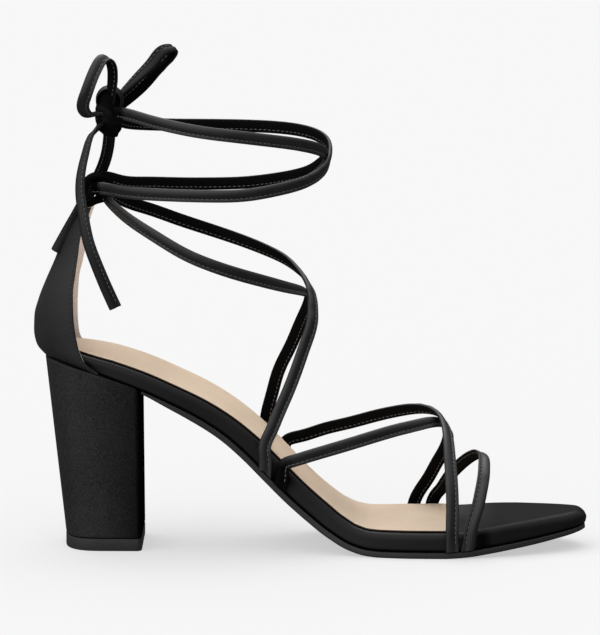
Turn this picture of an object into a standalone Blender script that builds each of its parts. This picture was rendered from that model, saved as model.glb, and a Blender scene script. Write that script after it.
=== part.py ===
"""Left shoe of a pair of block heel sandals: narrow crossed straps, closed heel and ankle ties in a bow.

The toe points to +X, the inner side of the foot is at -Y and the floor is Z = 0.
Sizes below are millimetres, and MM turns them into Blender's metres.
"""

import math

import bmesh
import bpy
import numpy as np

MM = 0.001
GAP = 0.3  # clearance between neighbouring pieces

# Straps and ties
STRAP_WIDTH = 5.4
STRAP_THICKNESS = 2.1
STRAP_FOOT_THICKNESS = 1.2  # where a strap is pared down to be tucked in beside the footbed
STRAP_FOOT_TAPER = 9.0
STRAP_FOOT_TURN = 1.6  # tapers over which a strap turns to lie flat on the footbed's side
STRAP_STEP = 5.0  # spacing of the sections along a strap
STRAP_CORNER = 0.55  # inset of the rounded strap edge
STRAP_EDGE = (0.28, 0.72)  # upright part of the strap edge, as shares of the thickness
BOW_STEP = 4.0

# Heel
LIFT_HEIGHT = 5.2
HEEL_BACK_TOP = -110.6
HEEL_BACK_FLOOR = -102.2
HEEL_FRONT_TOP = -70.4
HEEL_FRONT_FLOOR = -69.7
HEEL_HALF_WIDTH_TOP = 26.0
HEEL_HALF_WIDTH_FLOOR = 22.5
HEEL_ROUND_BACK = 0.5  # share of the heel's length that its rounded back takes
HEEL_SQUARENESS = 2.7  # exponent of the rounded back, 2 is an ellipse
HEEL_FRONT_CORNER = 2.5
HEEL_BACK_STEPS = 18
HEEL_CORNER_STEPS = 7
HEEL_LEVELS = 4
HEEL_SEAT_GAP = 0.36  # upright gap to the footbed, whose underside slopes

# Sole unit
HEEL_END = -108.3
TOE_END = 116.0
OUTSOLE_START = -69.3
OUTSOLE_LEDGE = 1.0
OUTSOLE_GAP = 0.45  # to the footbed's underside, which is a little twisted at the waist
OUTSOLE_EDGE = 0.7  # bevel along the tread
RIM_RADIUS = 2.6
RIM_GROWTH = 0.7  # how much rounder the rim becomes from here to the toe, as a share
RIM_GROWTH_START = 84.0
HEEL_FLARE_START = -84.0
HEEL_FLARE_BACK = 0.8  # how far the heel end of the footbed leans back, per unit of height
HEEL_FLARE_SIDE = 0.028
SOLE_STATIONS = 46
END_ANGLE = 0.035  # first and last station, as an angle on the heel-to-toe half circle

# Sock lining
SOCK_THICKNESS = 0.7
SOCK_GAP = 0.5  # to the footbed, whose facets stand a little proud of its curves
SOCK_INSET = 3.0
SOCK_HEEL_ROUND = 24.0  # length of the rounded heel end
SOCK_FRONT_INNER = 64.0
SOCK_FRONT_OUTER = 57.5
SOCK_FIRST_ROW = 0.15
SOCK_ROWS = 30
SOCK_COLUMNS = 9

# One row for each section of the sole, heel to toe: place along the shoe, height of the footbed's underside,
# half widths of the footbed to the inner and the outer side, its thickness, how much higher the inner edge
# is than the middle, for the whole sole and for the footbed's top, and the thickness of the outsole
SOLE_COLUMNS = ("x", "seat", "inner", "outer", "board", "lift", "cant", "outsole")
SOLE = (
    (-108.3, 81.2, 0.0, 0.0, 5.4, 0.0, 0.0, 1.2),
    (-104.0, 80.2, 13.4, 13.4, 5.5, 0.0, 0.0, 1.2),
    (-100.0, 79.1, 17.8, 17.8, 5.6, 0.0, 0.0, 1.2),
    (-94.0, 77.4, 21.8, 21.8, 5.8, 0.0, 0.0, 1.2),
    (-88.0, 75.6, 23.9, 23.9, 6.0, 0.0, 0.0, 1.2),
    (-80.0, 72.9, 25.3, 25.4, 6.3, 0.0, 0.0, 1.2),
    (-70.0, 69.2, 26.2, 26.4, 6.5, 0.0, 0.0, 1.2),
    (-58.0, 63.8, 26.5, 26.9, 6.6, 0.0, 0.0, 2.0),
    (-47.0, 58.2, 26.2, 27.3, 6.8, 0.0, 0.0, 2.5),
    (-36.0, 51.2, 25.9, 27.7, 6.9, 0.0, 0.0, 2.6),
    (-26.0, 42.6, 25.8, 28.2, 7.2, 0.0, 0.0, 2.6),
    (-16.0, 32.2, 26.2, 28.9, 7.5, 0.3, 0.0, 2.6),
    (-7.0, 22.9, 26.9, 29.7, 7.6, 0.7, 0.0, 2.6),
    (2.0, 14.8, 28.1, 30.9, 7.6, 1.0, 0.0, 2.6),
    (10.0, 8.8, 29.8, 32.5, 7.4, 0.9, 0.0, 2.6),
    (18.0, 4.8, 32.0, 34.6, 7.2, 0.4, 0.2, 2.6),
    (25.0, 3.2, 34.1, 36.3, 7.1, 0.1, 0.4, 2.6),
    (31.0, 2.9, 35.6, 37.4, 7.1, 0.0, 0.5, 2.6),
    (44.0, 2.9, 37.6, 38.6, 7.1, 0.0, 0.5, 2.6),
    (57.0, 2.9, 37.9, 37.5, 7.3, 0.0, 0.3, 2.6),
    (66.0, 3.3, 36.9, 35.4, 7.6, 0.0, 0.0, 2.6),
    (76.0, 4.5, 34.3, 31.6, 7.8, 0.0, 0.0, 2.6),
    (86.0, 5.8, 30.4, 26.2, 7.7, 0.0, 0.0, 2.5),
    (95.0, 7.0, 25.9, 20.6, 7.4, 0.0, 0.0, 2.4),
    (103.0, 8.2, 21.4, 15.0, 7.0, 0.0, 0.0, 2.2),
    (109.0, 9.2, 17.4, 9.8, 6.6, 0.0, 0.0, 2.1),
    (113.5, 10.0, 13.0, 4.4, 6.2, 0.0, 0.0, 2.0),
    (116.0, 10.5, 5.2, -5.2, 5.9, 0.0, 0.0, 1.9),
)

# Heel counter: one row for each level of its outer face, from the heel seat to the tab. The reach is how much
# further forward its front edge stands on the outer side of the foot than on the inner side
COUNTER_COLUMNS = ("back_x", "back_z", "front_x", "front_z", "half_width", "reach")
COUNTER = (
    (-110.7, 80.9, -87.6, 75.9, 26.0, 0.0),
    (-113.1, 83.0, -92.6, 79.6, 26.7, -1.0),
    (-114.8, 86.0, -95.2, 84.2, 27.0, -2.0),
    (-115.6, 91.0, -97.0, 92.0, 27.0, -1.2),
    (-115.4, 97.0, -98.0, 100.5, 26.5, -0.2),
    (-113.6, 104.0, -98.2, 109.0, 25.3, 0.6),
    (-110.5, 112.0, -97.3, 117.0, 23.3, 1.5),
    (-107.0, 120.0, -96.2, 125.0, 20.5, 2.0),
    (-103.9, 128.0, -95.4, 131.5, 17.0, 2.0),
    (-100.2, 136.5, -92.9, 138.5, 12.6, 1.4),
    (-96.6, 143.0, -91.0, 143.8, 8.8, 1.2),
)
COUNTER_WALL = 2.0
COUNTER_SWEEP = math.radians(80)  # half angle of the rounded back
COUNTER_STEPS = 20
COUNTER_LEVELS = 18

# Tunnel for the ties: the counter's tab goes up its front, over, and down the back as a stitched flap
TAB_HALF_WIDTH = 5.5
TAB_THICKNESS = 1.7
TUNNEL_CENTRE = (-88.9, 150.9)
TUNNEL_RADII = (5.4, 4.9)  # to the middle of the tab
TUNNEL_SQUARENESS = 3.0  # exponent of its outline, 2 is an ellipse
TUNNEL_ROOT = ((-99.6, 135.0), (-95.4, 141.0), (-92.2, 144.0))
TUNNEL_FLAP = ((-95.4, 147.0), (-97.6, 142.4), (-101.1, 136.2), (-105.0, 129.2), (-107.4, 124.8))
TUNNEL_TURN = (math.radians(-75), math.radians(180))
TUNNEL_TURN_STEPS = 9
TAB_COLUMNS = 7
TAB_CURVE = 1.1  # how far the tab's edges wrap forward round the heel, behind the tunnel
FLAP_FLARE = 2.5  # how much further out the flap's edges stand at its lower end
FLAP_DEPTH = 1.6  # how much thicker its inner side becomes, so that it is seated on the counter

# Middle of the foot and leg that the straps lie around, toe to calf
FOOT_CORE = ((92, 0, 0), (55, 0, 12), (20, 0, 30), (-12, 0, 62), (-42, 0, 125), (-42, 0, 210))

# Strap routes along the face that lies on the foot: x, y, z. Each end that is tucked in beside the footbed
# has its side, and its place along the sole at the outsole and at the rim
INNER, OUTER = -1, 1
# Shares of the way out from the foot, in x, y and z, that the faces of the straps keep
FOREFOOT_LEAN = (1.0, 1.0, 0.42)
INSTEP_LEAN = (0.45, 1.0, 1.0)
TIE_LEAN = (0.7, 1.0, 1.0)
FOOT_ABOVE_RIM = 0.8
FOOT_ABOVE_OUTSOLE = 0.1  # over the footbed's underside, which lies a gap above the outsole
FOOT_CLEARANCE = 0.65  # to the footbed's side, which curves within a strap's width
FOREFOOT_OVER = (
    (-4.4, 29.8, 40.3), (5.8, 27.6, 43.8), (16.0, 24.6, 46.8), (26.2, 20.4, 50.2), (36.4, 15.0, 53.3),
    (44.0, 10.2, 55.0), (49.9, 5.4, 55.2), (54.2, -0.6, 53.9), (57.0, -9.0, 50.8), (58.3, -18.0, 46.6),
    (59.2, -27.0, 39.8), (60.1, -33.6, 31.6), (60.6, -37.2, 20.6),
)
FOREFOOT_OVER_ENDS = ((OUTER, -12.0, -16.2), (INNER, 60.6, 60.8))
FOREFOOT_UNDER = (
    (-6.0, -27.1, 39.7), (0.7, -26.0, 41.6), (6.8, -24.6, 43.2), (16.8, -21.6, 45.7),
    (26.8, -17.6, 48.1), (36.7, -12.8, 50.1), (45.1, -8.0, 51.2), (51.0, -3.6, 51.6), (55.1, 1.4, 50.4),
    (57.4, 8.0, 47.0), (57.8, 16.0, 41.2), (56.0, 23.2, 34.8), (53.2, 28.8, 28.9), (49.4, 34.8, 21.0),
)
FOREFOOT_UNDER_ENDS = ((INNER, -11.7, -15.6), (OUTER, 42.2, 43.9))
TOE_OVER = (
    (71.0, -35.4, 21.4), (72.4, -32.4, 27.8), (73.2, -28.8, 32.2), (73.4, -23.0, 36.2),
    (73.2, -16.8, 38.3), (72.2, -10.0, 38.9), (68.8, 0.6, 36.9), (62.0, 14.8, 29.4), (58.0, 23.6, 23.2),
    (54.9, 31.0, 17.2),
)
TOE_OVER_ENDS = ((INNER, 66.9, 69.2), (OUTER, 49.6, 51.4))
INSTEP_OVER = (
    (-15.8, -25.9, 51.0), (-12.2, -24.0, 59.4), (-8.8, -22.2, 67.2), (-5.0, -19.8, 77.0),
    (-1.7, -16.8, 86.5), (1.1, -13.0, 95.7), (1.2, -8.6, 101.7), (0.4, -3.4, 106.7),
    (-1.8, 3.0, 110.4), (-5.8, 10.4, 113.9), (-11.2, 17.6, 117.4), (-17.9, 23.0, 120.2),
    (-28.0, 28.0, 123.7), (-41.6, 30.4, 128.2), (-55.1, 29.0, 133.0), (-67.3, 23.6, 138.3),
    (-77.4, 14.8, 143.2), (-84.0, 9.2, 147.9), (-86.3, 5.5, 150.3),
)
INSTEP_OVER_END = (INNER, -17.9, -23.6)
INSTEP_UNDER = (
    (-16.3, 27.1, 58.4), (-13.3, 23.6, 69.5), (-8.4, 19.0, 80.5), (-4.8, 13.6, 89.9), (-2.1, 8.0, 97.0),
    (-0.7, 2.2, 102.5), (-1.8, -4.4, 106.5), (-5.8, -10.4, 109.0), (-11.7, -16.6, 111.6),
    (-19.2, -22.6, 114.8), (-28.3, -27.6, 118.3), (-39.9, -31.0, 122.8), (-51.5, -31.0, 127.9),
    (-61.6, -28.6, 133.6), (-70.0, -23.6, 138.2), (-77.6, -15.8, 142.6), (-84.0, -9.2, 147.9),
    (-86.3, -5.5, 150.3),
)
INSTEP_UNDER_END = (OUTER, -18.8, -24.4)
TIE_OVER = (
    (-87.0, 2.9, 150.5), (-87.9, 0.0, 150.9), (-89.4, -4.2, 151.2), (-89.3, -7.0, 151.5),
    (-86.8, -10.6, 152.2), (-78.6, -17.0, 152.0), (-68.0, -24.2, 152.0), (-55.3, -29.6, 152.2),
    (-40.6, -32.6, 152.3), (-26.0, -32.0, 152.7), (-13.6, -28.0, 154.3), (-4.2, -21.6, 155.9),
    (2.2, -14.4, 158.0), (6.3, -6.6, 161.1), (7.6, 1.0, 164.8), (6.8, 8.4, 168.2), (3.5, 15.2, 170.4),
    (-2.6, 21.4, 171.8), (-12.0, 27.0, 172.5), (-25.5, 31.0, 172.7), (-41.6, 31.4, 172.9),
    (-57.1, 28.4, 173.4), (-69.4, 22.2, 174.6), (-76.6, 13.6, 176.6), (-81.0, 5.7, 179.4),
)
TIE_UNDER = (
    (-87.0, -2.9, 150.5), (-87.9, 0.0, 151.0), (-89.4, 4.2, 151.1), (-89.3, 7.0, 151.4),
    (-86.9, 10.7, 151.9), (-79.0, 16.9, 151.0), (-68.4, 24.4, 149.3), (-55.1, 29.4, 148.3),
    (-41.6, 31.4, 148.0), (-27.6, 30.0, 148.7), (-16.1, 25.6, 150.7), (-6.7, 18.6, 153.5),
    (-0.7, 12.0, 156.6), (3.6, 5.0, 160.9), (5.9, -1.5, 165.0), (4.0, -8.0, 168.2),
    (-0.4, -14.2, 170.6), (-7.5, -20.6, 172.9), (-17.8, -26.6, 175.1), (-31.5, -30.6, 177.3),
    (-44.8, -30.6, 179.0), (-57.4, -26.6, 180.9), (-66.8, -19.6, 182.3), (-74.6, -12.0, 183.4),
    (-80.3, -5.4, 183.4),
)

# Bow at the back: routes through the middle of each strap, and the point that a loop opens around
KNOT_CENTRE = (-84.0, 0.0, 182.4)
KNOT_RADII = (5.6, 6.4, 9.2)
LOOP_NEAR = (
    (-88.0, -5.2, 182.8), (-92.6, -10.6, 183.4), (-94.2, -13.8, 186.8), (-93.2, -16.4, 191.6),
    (-91.1, -17.4, 197.6), (-88.3, -15.6, 204.0), (-85.2, -11.4, 207.4), (-82.6, -7.4, 204.2),
    (-82.0, -5.4, 198.2), (-82.8, -3.1, 190.7),
)
LOOP_NEAR_MIDDLE = (-87.6, -9.0, 194.0)
LOOP_FAR = (
    (-80.2, 2.9, 189.1), (-71.9, 6.0, 197.0), (-65.2, 9.0, 203.6), (-60.0, 11.2, 208.2),
    (-56.9, 13.4, 207.8), (-58.5, 14.2, 204.5), (-63.8, 12.6, 199.3), (-69.5, 9.8, 193.5),
    (-79.0, 4.0, 185.8),
)
LOOP_FAR_MIDDLE = (-66.5, 10.0, 199.0)
END_NEAR = (
    (-86.9, -5.3, 178.4), (-91.4, -12.0, 173.4), (-92.8, -15.0, 168.8), (-94.0, -17.4, 164.0),
    (-94.9, -19.6, 159.2), (-95.1, -22.6, 152.2), (-94.1, -25.6, 145.4), (-92.9, -28.0, 138.6),
    (-91.4, -29.4, 132.0), (-88.5, -30.0, 123.9), (-84.4, -29.6, 113.7), (-80.3, -28.9, 104.4),
)
END_FAR = (
    (-83.9, 5.4, 175.7), (-84.4, 9.6, 168.4), (-85.6, 12.6, 162.2), (-87.6, 15.0, 156.4),
    (-90.4, 16.4, 150.6), (-93.4, 17.2, 145.2), (-96.4, 18.2, 139.9), (-99.0, 19.2, 135.0),
    (-101.1, 20.2, 130.6),
)
# What the faces of the two ends turn away from, and the way across each loop's strap
END_NEAR_CORE = ((-50, -2, 185), (-86, 10, 100))
END_FAR_CORE = ((-84, -60, 185), (-100, -60, 120))
LOOP_NEAR_AXIS = (-0.73, 0.68, 0.0)
LOOP_FAR_AXIS = (-0.52, 0.6, 0.61)

BLACK_LEATHER = ("black_leather", (0.012, 0.012, 0.013), 0.42)
BLACK_COVER = ("black_heel_cover", (0.016, 0.016, 0.017), 0.5)
BLACK_RUBBER = ("black_rubber", (0.02, 0.02, 0.021), 0.6)
BEIGE_SOCK = ("beige_sock", (0.72, 0.56, 0.42), 0.6)


def hermite(xs, ys, at):
    """Cubic through the rows that never swings past them: level where a stretch of the table is level."""
    xs = np.asarray(xs, float)
    ys = np.asarray(ys, float)
    at = np.asarray(at, float)
    steps = np.diff(xs)
    rises = np.diff(ys) / steps
    slopes = np.empty_like(ys)
    slopes[0] = rises[0]
    slopes[-1] = rises[-1]
    before = rises[:-1]
    after = rises[1:]
    same_way = before * after > 0
    total = np.where(same_way, before + after, 1.0)
    slopes[1:-1] = np.where(same_way, 2 * before * after / total, 0.0)
    row = np.clip(np.searchsorted(xs, at) - 1, 0, len(steps) - 1)
    part = np.clip((at - xs[row]) / steps[row], 0.0, 1.0)
    rest = 1 - part
    ends = ys[row] * (1 + 2 * part) * rest**2 + ys[row + 1] * (3 - 2 * part) * part**2
    turns = slopes[row] * part * rest**2 - slopes[row + 1] * rest * part**2
    return ends + turns * steps[row]


def column(table, names, name):
    return np.array([row[names.index(name)] for row in table], float)


def sole_angle(x):
    """Heel to toe as a half circle, so that widths that close at both ends close roundly."""
    share = (np.asarray(x, float) - HEEL_END) / (TOE_END - HEEL_END)
    return np.arccos(np.clip(1 - 2 * share, -1.0, 1.0))


def sole(name, x):
    """A column of the sole's table at any place along the shoe."""
    places = column(SOLE, SOLE_COLUMNS, "x")
    values = column(SOLE, SOLE_COLUMNS, name)
    if name in ("inner", "outer"):
        return hermite(sole_angle(places), values, sole_angle(x))
    return hermite(places, values, x)


def sole_up(x):
    """Direction square to the sole's slope at x, as its x and z parts."""
    slope = (sole("seat", x + 0.25) - sole("seat", x - 0.25)) / 0.5
    length = np.sqrt(1 + slope**2)
    return -slope / length, 1 / length


def on_sole(x, y, height):
    """Points at a height above the footbed's underside, at y across the shoe."""
    x = np.asarray(x, float)
    y = np.asarray(y, float)
    up_x, up_z = sole_up(x)
    half = np.where(y < 0, sole("inner", x), np.maximum(sole("outer", x), 1.0))
    share = np.clip(height / sole("board", x), 0.0, 1.0)
    tilt = -y / half * (sole("lift", x) + sole("cant", x) * share)
    flare = np.clip((HEEL_FLARE_START - x) / (HEEL_FLARE_START - HEEL_END), 0.0, 1.0)
    above = np.maximum(height, 0.0)
    px = x + up_x * height - HEEL_FLARE_BACK * above * flare
    py = y * (1 + HEEL_FLARE_SIDE * above * flare)
    pz = sole("seat", x) + up_z * height + tilt
    return np.stack(np.broadcast_arrays(px, py, pz), axis=-1)


def principled(finish):
    name, colour, roughness = finish
    material = bpy.data.materials.new(name)
    material.use_nodes = True
    shader = material.node_tree.nodes["Principled BSDF"]
    shader.inputs["Base Color"].default_value = (*colour, 1.0)
    shader.inputs["Roughness"].default_value = roughness
    return material


def add_object(name, vertices, faces, finish):
    """A named object from points in millimetres, its faces turned outwards."""
    mesh = bpy.data.meshes.new(name)
    mesh.from_pydata([tuple(point * MM) for point in np.asarray(vertices, float)], [], faces)
    shape = bmesh.new()
    shape.from_mesh(mesh)
    bmesh.ops.recalc_face_normals(shape, faces=shape.faces)
    if shape.calc_volume(signed=True) < 0:
        bmesh.ops.reverse_faces(shape, faces=shape.faces)
    shape.to_mesh(mesh)
    shape.free()
    mesh.shade_smooth()
    mesh.set_sharp_from_angle(angle=math.radians(40))
    mesh.materials.append(principled(finish))
    obj = bpy.data.objects.new(name, mesh)
    bpy.context.scene.collection.objects.link(obj)
    return obj


def loft(name, sections, finish):
    """A closed solid through equal closed sections, with a flat cap at each end."""
    sections = np.asarray(sections, float)
    count, around, _ = sections.shape
    faces = [tuple(range(around)), tuple(range((count - 1) * around, count * around))]
    for i in range(count - 1):
        for j in range(around):
            k = (j + 1) % around
            faces.append((i * around + j, i * around + k, (i + 1) * around + k, (i + 1) * around + j))
    return add_object(name, sections.reshape(-1, 3), faces, finish)


def slab(name, top, under, finish):
    """A closed sheet between two grids of points."""
    rows, columns, _ = top.shape
    size = rows * columns
    index = np.arange(size).reshape(rows, columns)
    faces = []
    for i in range(rows - 1):
        for j in range(columns - 1):
            quad = (index[i, j], index[i, j + 1], index[i + 1, j + 1], index[i + 1, j])
            faces.append(tuple(int(corner) for corner in quad))
            faces.append(tuple(int(corner) + size for corner in reversed(quad)))
    rim = [*index[0, :], *index[1:, -1], *index[-1, -2::-1], *index[-2:0:-1, 0]]
    for i, here in enumerate(rim):
        after = rim[(i + 1) % len(rim)]
        faces.append((int(after), int(here), int(here) + size, int(after) + size))
    points = np.concatenate([top.reshape(-1, 3), under.reshape(-1, 3)])
    return add_object(name, points, faces, finish)


def unite(obj, other):
    """Joins the second solid into the first with an exact union."""
    joint = obj.modifiers.new("join_" + other.name, "BOOLEAN")
    joint.operation = "UNION"
    joint.solver = "EXACT"
    joint.object = other
    graph = bpy.context.evaluated_depsgraph_get()
    joined = bpy.data.meshes.new_from_object(obj.evaluated_get(graph))
    obj.modifiers.remove(joint)
    obj.data = joined
    bpy.data.objects.remove(other)


def stations():
    """Places of the sole's sections, closer together towards the heel and the toe."""
    angles = np.linspace(END_ANGLE, math.pi - END_ANGLE, SOLE_STATIONS)
    return HEEL_END + (TOE_END - HEEL_END) * (1 - np.cos(angles)) / 2


def rim_radius(x):
    to_toe = np.clip((x - RIM_GROWTH_START) / (TOE_END - RIM_GROWTH_START), 0.0, 1.0)
    return RIM_RADIUS * (1 + RIM_GROWTH * to_toe)


def end_drop(x):
    """How far the rounded rim has fallen at a section this near the heel or toe end."""
    radius = rim_radius(x)
    near_end = np.minimum(x - HEEL_END, TOE_END - x)
    inside = np.clip(radius - near_end, 0.0, radius)
    return radius - math.sqrt(radius**2 - inside**2)


def footbed():
    """Wrapped board: flat underside, upright sides and a rounded top rim."""
    rim = ((1.0, 0.0), (0.2, 0.8))  # inset and height of the lower edge
    shoulder = ((0.0, 2.6), (0.75, 0.75), (2.6, 0.0), (6.0, -0.05))  # inset and depth below the top
    sections = []
    for x in stations():
        inner = float(sole("inner", x))
        outer = float(sole("outer", x))
        small = min(1.0, (inner + outer) / 20)
        bend = small * float(rim_radius(x)) / RIM_RADIUS
        top = float(sole("board", x)) - float(end_drop(x))
        half = [(inset * small, height) for inset, height in rim]
        half += [(inset * bend, top - depth * bend) for inset, depth in shoulder]
        across = [(-inner + inset, height) for inset, height in half]
        across.append(((outer - inner) / 2, half[-1][1]))
        across += [(outer - inset, height) for inset, height in reversed(half)]
        y, height = np.array(across).T
        sections.append(on_sole(np.full(len(y), x), y, height))
    return loft("footbed", sections, BLACK_LEATHER)


def outsole():
    """Thin sole under the board, with a ledge that the straps stand on and a bevelled tread edge."""
    places = stations()
    sections = []
    for x in (OUTSOLE_START, *places[places > OUTSOLE_START + 1]):
        ledge = OUTSOLE_LEDGE * min(1.0, (TOE_END - x) / 6)
        inner = float(sole("inner", x)) + ledge
        outer = float(sole("outer", x)) + ledge
        edge = OUTSOLE_EDGE * min(1.0, (inner + outer) / 10)
        under = -GAP - float(sole("outsole", x))
        across = (
            (outer - edge, under), (outer, under + edge), (outer, -OUTSOLE_GAP),
            (-inner, -OUTSOLE_GAP), (-inner, under + edge), (-inner + edge, under),
        )
        y, height = np.array(across).T
        sections.append(on_sole(np.full(len(y), x), y, height))
    return loft("outsole", sections, BLACK_RUBBER)


def sock_lining():
    """Beige sheet glued on the footbed, with a slanting front edge behind the toe strap."""
    across = np.linspace(-1, 1, SOCK_COLUMNS)
    along = np.linspace(0, 1, SOCK_ROWS)[:, None]
    front = SOCK_FRONT_INNER + (SOCK_FRONT_OUTER - SOCK_FRONT_INNER) * (across + 1) / 2
    back = HEEL_END + SOCK_INSET
    start = float(sole_angle(back + SOCK_FIRST_ROW))
    x = HEEL_END + (TOE_END - HEEL_END) * (1 - np.cos(start + along * (sole_angle(front) - start))) / 2
    to_end = np.clip(1 - (x - back) / SOCK_HEEL_ROUND, 0.0, 1.0)
    near_heel = np.sqrt(1 - to_end**2)
    inner = (sole("inner", x) - SOCK_INSET) * near_heel
    outer = (sole("outer", x) - SOCK_INSET) * near_heel
    y = np.where(across < 0, across * inner, across * outer)
    floor = sole("board", x) + SOCK_GAP
    under = on_sole(x, y, floor)
    top = on_sole(x, y, floor + SOCK_THICKNESS)
    return slab("sock_lining", top, under, BEIGE_SOCK)


def heel_outline(back, front, half_width):
    """D shape in plan: straight front with small corners, straight sides and a squarish round back."""
    middle = back + (front - back) * HEEL_ROUND_BACK
    points = []
    for turn in np.linspace(-math.pi / 2, math.pi / 2, HEEL_BACK_STEPS + 1):
        power = 2 / HEEL_SQUARENESS
        x = middle - (middle - back) * math.cos(turn) ** power if math.cos(turn) > 1e-9 else middle
        y = half_width * math.copysign(abs(math.sin(turn)) ** power, math.sin(turn))
        points.append((x, y))
    corner = HEEL_FRONT_CORNER
    for turn in np.linspace(0, math.pi, HEEL_CORNER_STEPS + 1):
        side = 1 if turn < math.pi / 2 else -1
        x = front - corner + corner * math.sin(turn)
        points.append((x, side * (half_width - corner) + corner * math.cos(turn)))
    return np.array(points)


def heel_top(x):
    """Height of the heel seat, the gap below the footbed."""
    return sole("seat", x) - HEEL_SEAT_GAP


def heel_block():
    base = heel_outline(HEEL_BACK_FLOOR, HEEL_FRONT_FLOOR, HEEL_HALF_WIDTH_FLOOR)
    seat = heel_outline(HEEL_BACK_TOP, HEEL_FRONT_TOP, HEEL_HALF_WIDTH_TOP)
    start = LIFT_HEIGHT + GAP
    sections = []
    for share in np.linspace(0, 1, HEEL_LEVELS):
        plan = base + (seat - base) * share
        z = start + (heel_top(seat[:, 0]) - start) * share
        sections.append(np.column_stack([plan, z]))
    return loft("heel_block", sections, BLACK_COVER)


def top_lift():
    plan = heel_outline(HEEL_BACK_FLOOR, HEEL_FRONT_FLOOR, HEEL_HALF_WIDTH_FLOOR)
    sections = [np.column_stack([plan, np.full(len(plan), z)]) for z in (0.0, LIFT_HEIGHT)]
    return loft("top_lift", sections, BLACK_RUBBER)


def counter_face(wall):
    """Grid of the counter's face, a wall's thickness inside its outer face."""
    levels = np.linspace(0, len(COUNTER) - 1, COUNTER_LEVELS)
    rows = np.arange(len(COUNTER))
    value = {name: hermite(rows, column(COUNTER, COUNTER_COLUMNS, name), levels) for name in COUNTER_COLUMNS}
    turn = np.linspace(-1, 1, COUNTER_STEPS + 1) * COUNTER_SWEEP
    forward = (1 - np.cos(turn)) / (1 - math.cos(COUNTER_SWEEP))
    across = np.sin(turn) / math.sin(COUNTER_SWEEP)
    back = value["back_x"][:, None] + wall
    front = value["front_x"][:, None] + value["reach"][:, None] * (across > 0)
    x = back + (front - back) * forward
    y = (value["half_width"][:, None] - wall) * across
    z = value["back_z"][:, None] + (value["front_z"] - value["back_z"])[:, None] * forward
    z[0] = heel_top(x[0]) + GAP
    return np.stack([x, y, z], axis=-1)


def tab_middle():
    """Side view of the tab's middle line: up the back, round the tunnel and down again as the flap."""
    points = list(TUNNEL_ROOT)
    power = 2 / TUNNEL_SQUARENESS
    for turn in np.linspace(*TUNNEL_TURN, TUNNEL_TURN_STEPS):
        forward = math.copysign(abs(math.cos(turn)) ** power, math.cos(turn))
        up = math.copysign(abs(math.sin(turn)) ** power, math.sin(turn))
        points.append((TUNNEL_CENTRE[0] + TUNNEL_RADII[0] * forward, TUNNEL_CENTRE[1] + TUNNEL_RADII[1] * up))
    return np.array(points + list(TUNNEL_FLAP))


def flap_share(middle):
    """0 up to the top of the tunnel, then growing to 1 at the lower end of the flap."""
    fallen = (TUNNEL_CENTRE[1] - middle[:, 1]) / (TUNNEL_CENTRE[1] - TUNNEL_FLAP[-1][1])
    past_top = np.arange(len(middle)) > middle[:, 1].argmax()
    return np.where(past_top, np.clip(fallen, 0.0, 1.0), 0.0)


def heel_counter():
    """Closed back with its lining side, and the tab folded over into the tunnel, in one solid."""
    outer = counter_face(0.0)
    inner = counter_face(COUNTER_WALL)
    shell = slab("heel_counter", outer, inner, BLACK_LEATHER)
    middle = tab_middle()
    along = np.gradient(middle, axis=0)
    along /= np.linalg.norm(along, axis=1)[:, None]
    side = np.column_stack([-along[:, 1], along[:, 0]]) * TAB_THICKNESS / 2
    behind = np.clip((TUNNEL_CENTRE[0] - middle[:, 0]) / TUNNEL_RADII[0], 0.0, 1.0)
    y = np.linspace(-1, 1, TAB_COLUMNS)
    sections = []
    for centre, half, curve, share in zip(middle, side, behind * TAB_CURVE, flap_share(middle)):
        edge = y * (TAB_HALF_WIDTH + FLAP_FLARE * share)
        wrap = curve * y**2
        seat = half * (1 + FLAP_DEPTH * share)
        front = np.column_stack([centre[0] + seat[0] + wrap, edge, np.full(TAB_COLUMNS, centre[1] + seat[1])])
        back = np.column_stack([centre[0] - half[0] + wrap, edge, np.full(TAB_COLUMNS, centre[1] - half[1])])
        sections.append(np.concatenate([front, back[::-1]]))
    tab = loft("tab", sections, BLACK_LEATHER)
    unite(shell, tab)
    return shell


def curve_through(points, step):
    """Evenly spaced points on a smooth curve through the route's own points."""
    points = np.asarray(points, float)
    spans = np.linalg.norm(np.diff(points, axis=0), axis=1)
    knots = np.concatenate([[0.0], np.cumsum(spans)])
    count = len(points)
    matrix = np.zeros((count, count))
    target = np.zeros((count, 3))
    matrix[0, :2] = (2.0, 1.0)
    matrix[-1, -2:] = (1.0, 2.0)
    rises = np.diff(points, axis=0) / spans[:, None]
    target[0] = 3 * rises[0]
    target[-1] = 3 * rises[-1]
    for i in range(1, count - 1):
        matrix[i, i - 1 : i + 2] = (spans[i], 2 * (spans[i - 1] + spans[i]), spans[i - 1])
        target[i] = 3 * (spans[i] * rises[i - 1] + spans[i - 1] * rises[i])
    slopes = np.linalg.solve(matrix, target)
    fine = np.linspace(0, knots[-1], 40 * count)
    row = np.clip(np.searchsorted(knots, fine) - 1, 0, count - 2)
    span = spans[row][:, None]
    part = ((fine - knots[row])[:, None]) / span
    rest = 1 - part
    line = points[row] * (1 + 2 * part) * rest**2 + points[row + 1] * (3 - 2 * part) * part**2
    line += (slopes[row] * part * rest**2 - slopes[row + 1] * rest * part**2) * span
    length = np.concatenate([[0.0], np.cumsum(np.linalg.norm(np.diff(line, axis=0), axis=1))])
    even = np.linspace(0, length[-1], max(8, round(length[-1] / step)) + 1)
    return np.column_stack([np.interp(even, length, line[:, k]) for k in range(3)])


def unit(vectors):
    return vectors / np.linalg.norm(vectors, axis=-1, keepdims=True)


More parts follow.
